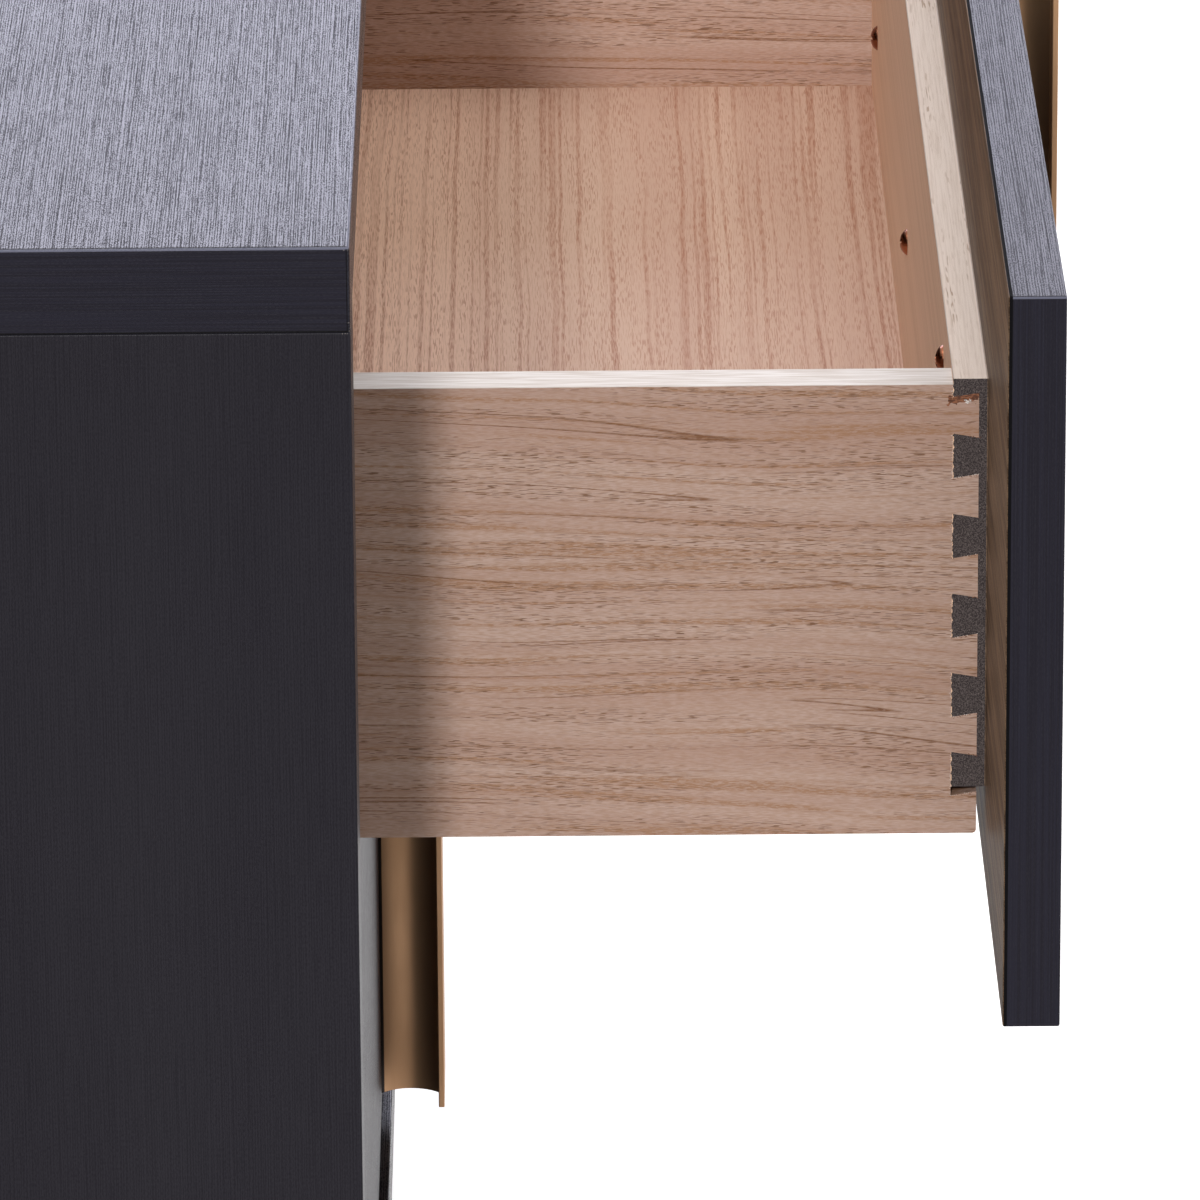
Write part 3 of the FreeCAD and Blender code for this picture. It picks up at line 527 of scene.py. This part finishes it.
def innerFrontFinish(name, settings=fibreSettings):
    low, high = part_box(name)
    cells = settings["cells"]
    finish = Finish(name + "Fibreboard")
    clump = finish.smooth(finish.grain("z", *cells["clump"], 3.0, 2.0), 0.4, 0.62)
    speck = finish.smooth(finish.grain("z", *cells["speck"], 1.0, 6.0), 0.58, 0.7)
    colour = finish.mix(clump, settings["dark"], settings["light"])
    colour = finish.mix(speck * 0.6, colour, settings["speck"])
    skin = settings["faceBand"]
    onEnd = (finish.x < low[0] + skin) + (finish.x > high[0] - skin)
    ragged = finish.grain("z", *cells["ragged"], 2.0, 12.0) - 0.5
    setback = ragged * settings["endJag"] + settings["endSetback"]
    inside = finish.y > onEnd * setback + high[1] - skin
    outside = finish.y < low[1] + skin
    # The inner face gets a painted-light tone, lighter than its wood, for the light bounced onto it
    faceStreak = finish.smooth(finish.grain("x", *cells["face"], 3.0, 4.0), 0.35, 0.65)
    face = finish.mix(faceStreak, settings["face"], settings["faceStreak"])
    colour = finish.mix(inside, colour, face)
    colour = finish.mix(outside, colour, laminateColour(finish, "x"))
    onTop = finish.z > high[2] - settings["edgeBand"]
    flock = finish.smooth(finish.grain("x", *cells["flock"], 2.0, 22.0), 0.5, 0.66)
    dash = finish.smooth(finish.grain("x", *cells["dash"], 0.0, 9.0), 0.6, 0.72) * (flock * 0.8 + 0.12)
    haze = finish.smooth(finish.grain("x", *cells["haze"], 3.0, 1.0), 0.4, 0.66)
    cream = finish.mix(dash * 0.75 + haze * 0.2, settings["cream"], settings["creamGrain"])
    outer, inner = settings["borderSpan"]
    border = (finish.y < low[1] + outer) + (finish.y > high[1] - inner)
    cream = finish.mix(border * 0.5, cream, settings["border"])
    colour = finish.mix(onTop, colour, cream)
    return finish.surface(Base_Color=colour, Roughness=settings["roughness"] - inside * 0.24,
                          IOR=settings["ior"], Normal=finish.bump(clump + speck, settings["bumpDepth"]))


# The shift moves the pattern on, so that no two boards are alike
for drawer, shift in (("upper", 0.0), ("lower", 31.0)):
    for part, axis, more in (("side_left", "y", 0.0), ("side_right", "y", 11.0), ("back", "x", 20.0)):
        name = f"{drawer}_{part}"
        dress(name, drawerSideFinish(name, axis, shift=shift + more))
    dress(f"{drawer}_bottom", drawerBottomFinish(f"{drawer}_bottom", shift=shift))
    dress(f"{drawer}_inner_front", innerFrontFinish(f"{drawer}_inner_front"))
print("drawer boxes done")


# Metal, plastic and dowels
metalSettings = {
    # The bronze's two dark tones are painted shade, for the pulls' hollow and for the shadow line where a
    # pull meets its front
    "bronze": {"first": tone(168, 132, 100), "second": tone(156, 121, 90),
               "paintedShade": tone(82, 66, 50), "seam": tone(20, 14, 11), "roughness": 0.5, "metallic": 0.8},
    "steel": {"first": tone(176, 176, 174), "second": tone(150, 150, 148),
              "roughness": 0.34, "metallic": 1.0},
    "brownMetal": {"first": tone(172, 112, 84), "second": tone(120, 74, 54),
                   "roughness": 0.2, "metallic": 1.0},
    "greyPlastic": {"first": tone(92, 92, 94), "second": tone(80, 80, 82),
                    "roughness": 0.5, "metallic": 0.0},
    "softPad": {"first": tone(206, 204, 198), "second": tone(186, 184, 176),
                "roughness": 0.45, "metallic": 0.0},
    "cloud": (60.0, 20.0),  # cells in a metre across and along the brushing, here and below
    "brush": (4200.0, 90.0),
    "grit": (5200.0, 5200.0),
    "bumpDepth": 0.012 * mm,
}
# Where the painted shade of a pull's hollow and its painted shadow line fall
hollowSettings = {
    "plate": 2.6 * mm,  # outer plate, with its rounding
    "fade": (8 * mm, 12 * mm),  # behind the plate, where the painted shade ends
    "shadeStrength": 0.42,
    "seam": 1.2 * mm,
}


def metalFinish(name, kind, brushed="z", hollow=None):
    settings = metalSettings[kind]
    finish = Finish(name)
    cloud = finish.smooth(finish.grain(brushed, *metalSettings["cloud"], 3.0, 1.0), 0.3, 0.7)
    brush = finish.grain(brushed, *metalSettings["brush"], 1.0, 5.0)
    grit = finish.grain(brushed, *metalSettings["grit"], 0.0, 2.0)
    colour = finish.mix(cloud * 0.7 + brush * 0.3, settings["first"], settings["second"])
    if hollow:
        # Painted shade: the hollow behind the outer plate is painted darker, and a painted shadow line runs
        # where it meets the front
        low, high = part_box(hollow)
        start = low[1] + hollowSettings["plate"]
        fading = [start + step for step in hollowSettings["fade"]]
        paintedShade = finish.smooth(finish.y, *fading, hollowSettings["shadeStrength"], 0.0) * (finish.y > start)
        colour = finish.mix(paintedShade, colour, settings["paintedShade"])
        colour = finish.mix(finish.y > high[1] - hollowSettings["seam"], colour, settings["seam"])
    roughness = settings["roughness"] - 0.06 + cloud * 0.06 + brush * 0.08
    return finish.surface(Base_Color=colour, Metallic=settings["metallic"], Roughness=roughness,
                          Normal=finish.bump(brush * 0.5 + grit, metalSettings["bumpDepth"]))


bronze = metalFinish("bronzeMetal", "bronze")
steel = metalFinish("slideSteel", "steel", "y")
plated = metalFinish("platedSteel", "steel", "x")
brown = metalFinish("brownScrews", "brownMetal", "x")
plastic = metalFinish("greyPlastic", "greyPlastic")
pad = metalFinish("softPad", "softPad")
for drawer in ("upper", "lower"):
    dress(f"{drawer}_pull", metalFinish(f"{drawer}Bronze", "bronze", "z", f"{drawer}_pull"))
    dress(f"{drawer}_slide_clips", plastic)
    for sideName in ("left", "right"):
        for part in ("rail", "middle", "channel"):
            dress(f"{drawer}_slide_{part}_{sideName}", steel)
for end in ("front", "back"):
    for sideName in ("left", "right"):
        dress(f"leg_{end}_{sideName}", bronze)
dress("leg_plates", plated)
dress("leg_bolts", plated)
dress("leg_glides", plastic)
dress("bumpers", pad)


dowelSettings = {"light": tone(214, 176, 132), "dark": tone(190, 150, 108), "roughness": 0.6,
                 "bumpDepth": 0.05 * mm}


def dowelFinish(settings):
    finish = Finish("beechDowel")
    ray = finish.smooth(finish.grain("z", 500.0, 500.0, 2.0), 0.35, 0.65)
    colour = finish.mix(ray, settings["light"], settings["dark"])
    return finish.surface(Base_Color=colour, Roughness=settings["roughness"],
                          Normal=finish.bump(ray, settings["bumpDepth"]))


dress("carcass_dowels", dowelFinish(dowelSettings))
print("metal, plastic and dowels done")


# A Geometry Nodes tree under construction
class Plan:
    def __init__(self, name, sizes):
        self.tree = bpy.data.node_groups.new(name, "GeometryNodeTree")
        face = self.tree.interface
        face.new_socket("Geometry", in_out="INPUT", socket_type="NodeSocketGeometry")
        face.new_socket("Geometry", in_out="OUTPUT", socket_type="NodeSocketGeometry")
        self.ids = {}
        for label, value in sizes.items():
            kind = "NodeSocketInt" if isinstance(value, int) else "NodeSocketFloat"
            socket = face.new_socket(label, in_out="INPUT", socket_type=kind)
            socket.default_value = value
            self.ids[label] = socket.identifier
        self.start = self.tree.nodes.new("NodeGroupInput")
        self.end = self.tree.nodes.new("NodeGroupOutput")

    def size(self, label):
        return self.start.outputs[label]

    def node(self, kind, settings=None, inputs=None, output=0):
        made = self.tree.nodes.new(kind)
        for key, value in (settings or {}).items():
            setattr(made, key, value)
        for key, value in (inputs or {}).items():
            socket = made.inputs[key]
            for source in (value if isinstance(value, list) else [value]):
                if isinstance(source, bpy.types.NodeSocket):
                    self.tree.links.new(source, socket)
                else:
                    socket.default_value = source
        return made.outputs[output]

    def maths(self, operation, first, second):
        return self.node("ShaderNodeMath", {"operation": operation}, {0: first, 1: second})

    def finished(self, geometry, material):
        whole = self.node("GeometryNodeRealizeInstances", {}, {0: geometry})
        painted = self.node("GeometryNodeSetMaterial", {}, {0: whole, "Material": material})
        self.tree.links.new(painted, self.end.inputs[0])
        return self.tree

    def run(self, name, points, lines, attributes, values):
        # Grows the tree on a set of points and returns one plain mesh
        seed = bpy.data.meshes.new(name + "Seed")
        seed.from_pydata(points, lines, [])
        for label, data in attributes.items():
            layer = seed.attributes.new(label, "FLOAT_VECTOR", "POINT")
            layer.data.foreach_set("vector", [part for row in data for part in row])
        grown = bpy.data.objects.new(name + "Seed", seed)
        bpy.context.scene.collection.objects.link(grown)
        modifier = grown.modifiers.new("plan", "NODES")
        modifier.node_group = self.tree
        for label, value in values.items():
            modifier[self.ids[label]] = value
        bpy.context.view_layer.update()
        ready = grown.evaluated_get(bpy.context.evaluated_depsgraph_get())
        mesh = bpy.data.meshes.new_from_object(ready)
        mesh.name = name
        piece = bpy.data.objects.new(name, mesh)
        bpy.context.scene.collection.objects.link(piece)
        grown.modifiers.remove(modifier)
        bpy.data.objects.remove(grown)
        return piece


# Screws: each point becomes a head with a cross slot, and its shank
def screwPlan(name, material, domed=False):
    plan = Plan(name, {"Head Radius": 3.8 * mm, "Neck Radius": 1.9 * mm, "Head Height": 2.2 * mm,
                       "Shank Radius": 1.9 * mm, "Shank Length": 16 * mm, "Slot Depth": 1.3 * mm, "Seed": 3})
    radius, height = plan.size("Head Radius"), plan.size("Head Height")
    if domed:
        ball = plan.node("GeometryNodeMeshUVSphere", {}, {"Segments": 32, "Rings": 18, "Radius": 1.0})
        extent = plan.node("ShaderNodeCombineXYZ", {}, {0: radius, 1: radius, 2: height})
        head = plan.node("GeometryNodeTransform", {}, {0: ball, "Scale": extent})
    else:
        head = plan.node("GeometryNodeMeshCone", {}, {
            "Vertices": 28, "Radius Bottom": radius, "Radius Top": plan.size("Neck Radius"),
            "Depth": height})
    bars = []
    long = plan.maths("MULTIPLY", radius, 1.15)
    narrow = plan.maths("MULTIPLY", radius, 0.26)
    deep = plan.maths("MULTIPLY", plan.size("Slot Depth"), 2.0)
    for pair in ((long, narrow), (narrow, long)):
        extent = plan.node("ShaderNodeCombineXYZ", {}, {0: pair[0], 1: pair[1], 2: deep})
        bar = plan.node("GeometryNodeMeshCube", {}, {"Size": extent})
        if domed:
            crown = plan.maths("MULTIPLY", height, -1.0)
            bar = plan.node("GeometryNodeTransform", {}, {
                0: bar, "Translation": plan.node("ShaderNodeCombineXYZ", {}, {2: crown})})
        bars.append(bar)
    slotted = plan.node("GeometryNodeMeshBoolean", {"operation": "DIFFERENCE"}, {0: head, 1: bars})
    shank = plan.node("GeometryNodeMeshCylinder", {}, {
        "Vertices": 12, "Radius": plan.size("Shank Radius"), "Depth": plan.size("Shank Length")})
    half = plan.maths("MULTIPLY", plan.size("Shank Length"), 0.5)
    below = plan.maths("ADD", plan.maths("MULTIPLY", plan.size("Slot Depth"), 1.02), half)
    lowered = plan.node("GeometryNodeTransform", {}, {
        0: shank, "Translation": plan.node("ShaderNodeCombineXYZ", {}, {2: below})})
    whole = plan.node("GeometryNodeJoinGeometry", {}, {0: [lowered, slotted]})
    way = plan.node("GeometryNodeInputNamedAttribute", {"data_type": "FLOAT_VECTOR"}, {"Name": "way"})
    turned = plan.node("FunctionNodeAlignRotationToVector", {"axis": "Z"}, {"Vector": way})
    spin = plan.node("FunctionNodeRandomValue", {"data_type": "FLOAT"}, {
        2: 0.0, 3: math.pi, "Seed": plan.size("Seed")}, 1)
    own = plan.node("FunctionNodeAxisAngleToRotation", {}, {"Axis": (0, 0, 1), "Angle": spin})
    facing = plan.node("FunctionNodeRotateRotation", {"rotation_space": "LOCAL"}, {0: turned, 1: own})
    points = plan.node("GeometryNodeMeshToPoints", {}, {0: plan.start.outputs[0]})
    placed = plan.node("GeometryNodeInstanceOnPoints", {}, {
        "Points": points, "Instance": whole, "Rotation": facing})
    plan.finished(placed, material)
    return plan


def looseBoxes(name):
    # Box of each separate solid in a part
    shape = bmesh.new()
    shape.from_mesh(nodes[name].data)
    bmesh.ops.remove_doubles(shape, verts=shape.verts, dist=1e-6)
    boxes, left = [], set(shape.verts)
    while left:
        group, queue = [], [left.pop()]
        while queue:
            vert = queue.pop()
            group.append(vert.co.copy())
            for edge in vert.link_edges:
                other = edge.other_vert(vert)
                if other in left:
                    left.remove(other)
                    queue.append(other)
        boxes.append((Vector([min(p[i] for p in group) for i in range(3)]),
                      Vector([max(p[i] for p in group) for i in range(3)])))
    shape.free()
    boxes.sort(key=lambda pair: tuple(round(part, 5) for part in pair[0]))
    return boxes


# Millimetres; a screw's way runs from its head to its tip
screwDefaults = {"head": 3.8, "neck": 1.9, "headHeight": 2.2, "shank": 1.9, "slotDepth": 1.3,
                 "domed": False, "slot": "plated_steel"}
screwSettings = {
    "back_screws": {"way": (0, -1, 0), "length": 25, "body": "carcass"},
    "leg_screws": {"way": (0, 0, 1), "length": 16, "body": "carcass"},
    "slide_screws": {"way": "outward", "length": 15.3, "body": "carcass",
                     "head": 3.5, "neck": 3.5, "headHeight": 1.8},
}
for drawer in ("upper", "lower"):
    body = drawer + "_drawer"
    screwSettings[f"{drawer}_pull_screws"] = {
        "way": (0, -1, 0), "length": 26, "body": body, "neck": 2.0, "shank": 2.0}
    screwSettings[f"{drawer}_front_screws"] = {
        "way": (0, -1, 0), "length": 26, "body": body, "head": 5.45, "headHeight": 3.9, "domed": True}
    screwSettings[f"{drawer}_side_screws"] = {"way": "inward", "length": 34, "body": body}
    screwSettings[f"{drawer}_underside_screws"] = {"way": (0, 0, 1), "length": 16, "body": body}
platedPlan = screwPlan("platedScrews", plated)
domedPlan = screwPlan("domedScrews", brown, True)
for name, own in screwSettings.items():
    settings = {**screwDefaults, **own}
    starts, ways = [], []
    for low, high in looseBoxes(name):
        middle = (low + high) / 2
        way = settings["way"]
        if way == "outward":
            way = (math.copysign(1, middle.x), 0, 0)
        elif way == "inward":
            way = (-math.copysign(1, middle.x), 0, 0)
        way = Vector(way)
        half = (high - low) / 2
        reach = abs(half.dot(way))
        starts.append(middle - way * reach)
        ways.append(way)
    plan = domedPlan if settings["domed"] else platedPlan
    piece = plan.run(name + "_heads", starts, [], {"way": ways}, {
        "Head Radius": settings["head"] * mm, "Neck Radius": settings["neck"] * mm,
        "Head Height": settings["headHeight"] * mm, "Shank Radius": settings["shank"] * mm,
        "Slot Depth": settings["slotDepth"] * mm,
        "Shank Length": (settings["length"] - settings["slotDepth"] * 1.02) * mm})
    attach(piece, settings["body"])
    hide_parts(name)
print("screws done:", len(screwSettings), "sets")


# Splinters and fuzz left by the saw along the dovetails: each line becomes a row of strewn chips
def chipPlan(name, material):
    plan = Plan(name, {"Spacing": 0.9 * mm, "Scatter": 0.3 * mm, "Chip Length": 0.6 * mm,
                       "Chip Width": 0.2 * mm, "Chip Lift": 0.12 * mm, "Seed": 4})
    path = plan.node("GeometryNodeMeshToCurve", {}, {0: plan.start.outputs[0]})
    points = plan.node("GeometryNodeCurveToPoints", {"mode": "LENGTH"}, {
        0: path, "Length": plan.size("Spacing")})
    seeds = [plan.maths("ADD", plan.size("Seed"), step) for step in (0, 1, 2, 3)]
    sway = plan.node("FunctionNodeRandomValue", {"data_type": "FLOAT_VECTOR"}, {
        0: (0.0, -1.0, -1.0), 1: (0.0, 1.0, 1.0), "Seed": seeds[0]})
    moved = plan.node("ShaderNodeVectorMath", {"operation": "SCALE"}, {
        0: sway, "Scale": plan.size("Scatter")})
    strewn = plan.node("GeometryNodeSetPosition", {}, {0: points, "Offset": moved})
    kept = plan.node("FunctionNodeRandomValue", {"data_type": "BOOLEAN"}, {
        "Probability": 0.62, "Seed": seeds[1]}, 3)
    chip = plan.node("GeometryNodeMeshIcoSphere", {}, {"Radius": 1.0, "Subdivisions": 1})
    full = plan.node("ShaderNodeCombineXYZ", {}, {
        0: plan.size("Chip Lift"), 1: plan.size("Chip Length"), 2: plan.size("Chip Width")})
    uneven = plan.node("FunctionNodeRandomValue", {"data_type": "FLOAT_VECTOR"}, {
        0: (0.5, 0.3, 0.4), 1: (1.0, 1.0, 1.0), "Seed": seeds[2]})
    scale = plan.node("ShaderNodeVectorMath", {"operation": "MULTIPLY"}, {0: full, 1: uneven})
    turn = plan.node("FunctionNodeRandomValue", {"data_type": "FLOAT_VECTOR"}, {
        0: (-0.6, 0.0, 0.0), 1: (0.6, 0.0, 0.0), "Seed": seeds[3]})
    placed = plan.node("GeometryNodeInstanceOnPoints", {}, {
        "Points": strewn, "Selection": kept, "Instance": chip, "Rotation": turn, "Scale": scale})
    plan.finished(placed, material)
    return plan


def chipFinish(name, first, second):
    finish = Finish(name)
    shade = finish.smooth(finish.grain("y", 2600.0, 900.0, 1.0, 2.0), 0.4, 0.6)
    return finish.surface(Base_Color=finish.mix(shade, first, second), Roughness=0.75, IOR=1.35,
                          Normal=finish.bump(shade, 0.04 * mm))


chipSettings = {
    "fuzz": {"first": tone(222, 214, 208), "second": tone(196, 176, 160), "chips": {
        "Spacing": 0.7 * mm, "Scatter": 0.16 * mm, "Chip Length": 0.34 * mm, "Chip Width": 0.16 * mm,
        "Seed": 11}},
    "splinters": {"first": tone(146, 96, 68), "second": tone(92, 56, 38), "chips": {
        "Spacing": 0.8 * mm, "Scatter": 0.3 * mm, "Chip Length": 0.62 * mm, "Chip Width": 0.17 * mm,
        "Seed": 27}},
}


def jointLines(drawer, sideName, settings):
    # The pins' outlines on the outer face of a drawer side, from its own box
    low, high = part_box(f"{drawer}_side_{sideName}")
    x = low[0] - settings["proud"] if sideName == "left" else high[0] + settings["proud"]
    inner, outer = low[1] + settings["pinDepth"], low[1]
    slip = settings["narrowing"]
    lines = {"fuzz": [], "splinters": []}
    for number in range(settings["pins"]):
        top = high[2] - settings["firstPin"] - number * settings["pinPitch"]
        under = top - settings["pinHeight"]
        lines["fuzz"].append(((x, inner + 0.25 * mm, top), (x, inner + 0.25 * mm, under)))
        lines["fuzz"].append(((x, inner, under), (x, outer, under + slip)))
        lines["splinters"].append(((x, outer + 3.0 * mm, top - slip * 0.7), (x, outer, top - slip)))
        lines["splinters"].append(((x, inner, under - 0.3 * mm), (x, outer, under + slip - 0.3 * mm)))
    half = high[2] - settings["halfPin"]
    lines["fuzz"].append(((x, inner + 0.3 * mm, high[2] - 0.3 * mm), (x, inner + 0.3 * mm, half)))
    for drop in (0.3, 0.9, 1.6):
        lines["splinters"].append(((x, inner + 1.8 * mm, half - drop * mm),
                                   (x, outer + 0.4 * mm, half - drop * mm + slip)))
    return lines


plans = {}
for kind, settings in chipSettings.items():
    plans[kind] = chipPlan(kind + "Chips", chipFinish(kind + "Wood", settings["first"], settings["second"]))
chips, facesOfChip = 0, 20
for drawer in ("upper", "lower"):
    for kind, settings in chipSettings.items():
        points, lines = [], []
        for sideName in ("left", "right"):
            for start, end in jointLines(drawer, sideName, jointSettings)[kind]:
                lines.append((len(points), len(points) + 1))
                points += [start, end]
        piece = plans[kind].run(f"{drawer}_joint_{kind}", points, lines, {}, settings["chips"])
        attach(piece, drawer + "_drawer")
        chips += len(piece.data.polygons) // facesOfChip
print("joint chips done:", chips)


# Worn spots at the top's left front corner: one at the upper edge, one at the seam
cornerSettings = {
    "first": tone(126, 118, 114),
    "second": tone(74, 70, 72),
    "proud": 0.03 * mm,
    "upperDrop": 1.3 * mm,
    "seamDrop": 0.2 * mm,
    "lines": (((0.4, "upper", 0.0), (2.8, "upper", 0.3)),  # millimetres behind the front and up
              ((0.2, "seam", 0.0), (3.6, "seam", 0.0)),
              ((0.3, "seam", 3.6), (0.3, "seam", 1.0))),
    "chips": {"Spacing": 0.55 * mm, "Scatter": 0.35 * mm, "Chip Length": 0.5 * mm, "Chip Width": 0.28 * mm,
              "Chip Lift": 0.08 * mm, "Seed": 8},
}


def cornerChips(settings):
    low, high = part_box("top_panel")
    heights = {"upper": high[2] - settings["upperDrop"], "seam": low[2] - settings["seamDrop"]}
    points, lines = [], []
    for line in settings["lines"]:
        lines.append((len(points), len(points) + 1))
        for back, level, up in line:
            points.append((low[0] - settings["proud"], low[1] + back * mm, heights[level] + up * mm))
    plan = chipPlan("cornerChips", chipFinish("cornerWood", settings["first"], settings["second"]))
    piece = plan.run("corner_chips", points, lines, {}, settings["chips"])
    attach(piece, "carcass")


cornerChips(cornerSettings)
print("corner chips done")


# Floor, lamps and surroundings
stageSettings = {
    "floorSize": 60.0,
    "floorColour": tone(232, 231, 230),
    "floorMottle": tone(228, 227, 226),
    "floorGlow": 0.75,
    "sky": 0.26,
    "skyColour": (1.0, 0.95, 0.89, 1.0),
    "key": {"strength": 2.0, "angle": 5.4, "azimuth": 8.2, "height": 26.0},  # degrees
    "rim": {"place": (4.5, 0.1, 2.3), "size": (5.0, 2.2), "brightness": 2.85, "colour": (0.77, 0.77, 1.0)},
    "top": {"place": (-0.3, -0.45, 3.4), "size": (3.6, 3.6), "brightness": 2.1, "colour": (1.0, 1.0, 1.0)},
    "fill": {"place": (0.6, -4.2, 1.7), "size": (2.4, 2.4), "brightness": 1.8, "colour": (1.0, 1.0, 1.0)},
}


def makeFloor(settings):
    half = settings["floorSize"] / 2
    mesh = bpy.data.meshes.new("studioFloor")
    corners = [(-half, -half, 0), (half, -half, 0), (half, half, 0), (-half, half, 0)]
    mesh.from_pydata(corners, [], [(0, 1, 2, 3)])
    floor = bpy.data.objects.new("studioFloor", mesh)
    bpy.context.scene.collection.objects.link(floor)
    finish = Finish("studioFloor")
    path = finish.node("ShaderNodeLightPath")
    outputs = path.socket.node.outputs
    seen = path
    for label in ("Is Glossy Ray", "Is Transmission Ray"):
        seen = seen.maths("MAXIMUM", seen, Wire(finish, outputs[label]))
    mottle = finish.smooth(finish.grain("x", 6.0, 6.0, 3.0), 0.2, 0.8)
    colour = finish.mix(mottle, settings["floorColour"], settings["floorMottle"])
    solid = finish.node("ShaderNodeBsdfPrincipled", {}, {
        "Base Color": colour, "Roughness": 0.9, "Specular IOR Level": 0.1,
        "Emission Color": finish.mix(seen, (0, 0, 0, 1), (1, 1, 1, 1)),
        "Emission Strength": settings["floorGlow"]})
    clear = finish.node("ShaderNodeBsdfTransparent")
    under = finish.node("ShaderNodeNewGeometry", {}, {}, "Backfacing")
    both = finish.node("ShaderNodeMixShader", {}, {0: under, 1: solid, 2: clear})
    finish.node("ShaderNodeOutputMaterial", {}, {0: both})
    mesh.materials.append(finish.material)


def makeWorld(strength, colour):
    world = bpy.data.worlds.new("studio")
    world.use_nodes = True
    tree = world.node_tree
    tree.nodes.clear()
    path = tree.nodes.new("ShaderNodeLightPath")
    seen = path.outputs["Is Camera Ray"]
    for label in ("Is Glossy Ray", "Is Transmission Ray"):
        either = tree.nodes.new("ShaderNodeMath")
        either.operation = "MAXIMUM"
        tree.links.new(seen, either.inputs[0])
        tree.links.new(path.outputs[label], either.inputs[1])
        seen = either.outputs[0]
    scale = tree.nodes.new("ShaderNodeMapRange")
    tree.links.new(seen, scale.inputs[0])
    scale.inputs[3].default_value = strength
    scale.inputs[4].default_value = 1.0
    tint = tree.nodes.new("ShaderNodeMix")
    tint.data_type = "RGBA"
    tree.links.new(seen, tint.inputs[0])
    tint.inputs[6].default_value = colour
    tint.inputs[7].default_value = (1.0, 1.0, 1.0, 1.0)
    sky = tree.nodes.new("ShaderNodeBackground")
    tree.links.new(tint.outputs[2], sky.inputs["Color"])
    tree.links.new(scale.outputs[0], sky.inputs["Strength"])
    end = tree.nodes.new("ShaderNodeOutputWorld")
    tree.links.new(sky.outputs[0], end.inputs[0])
    bpy.context.scene.world = world


def addLamp(name, kind, place, aim):
    lamp = bpy.data.lights.new(name, kind)
    holder = bpy.data.objects.new(name, lamp)
    bpy.context.scene.collection.objects.link(holder)
    holder.location = place
    holder.rotation_euler = (Vector(aim) - Vector(place)).to_track_quat("-Z", "Y").to_euler()
    holder.visible_camera = False
    return lamp


def makeLamps(settings):
    key = settings["key"]
    azimuth, height = math.radians(key["azimuth"]), math.radians(key["height"])
    level = math.cos(height)
    way = Vector((-math.cos(azimuth) * level, math.sin(azimuth) * level, math.sin(height)))
    sun = addLamp("keyLamp", "SUN", way * 6, (0, 0, 0))
    sun.energy = key["strength"]
    sun.angle = math.radians(key["angle"])
    for label in ("rim", "top", "fill"):
        panel = settings[label]
        lamp = addLamp(label + "Lamp", "AREA", panel["place"], (0, 0, 0.7))
        lamp.shape = "RECTANGLE"
        lamp.size, lamp.size_y = panel["size"]
        lamp.energy = panel["brightness"] * math.pi * panel["size"][0] * panel["size"][1]
        lamp.color = panel["colour"]


makeFloor(stageSettings)
makeWorld(stageSettings["sky"], stageSettings["skyColour"])
makeLamps(stageSettings)
bpy.context.scene.view_settings.view_transform = "Standard"
print("floor, surroundings and lamps done")
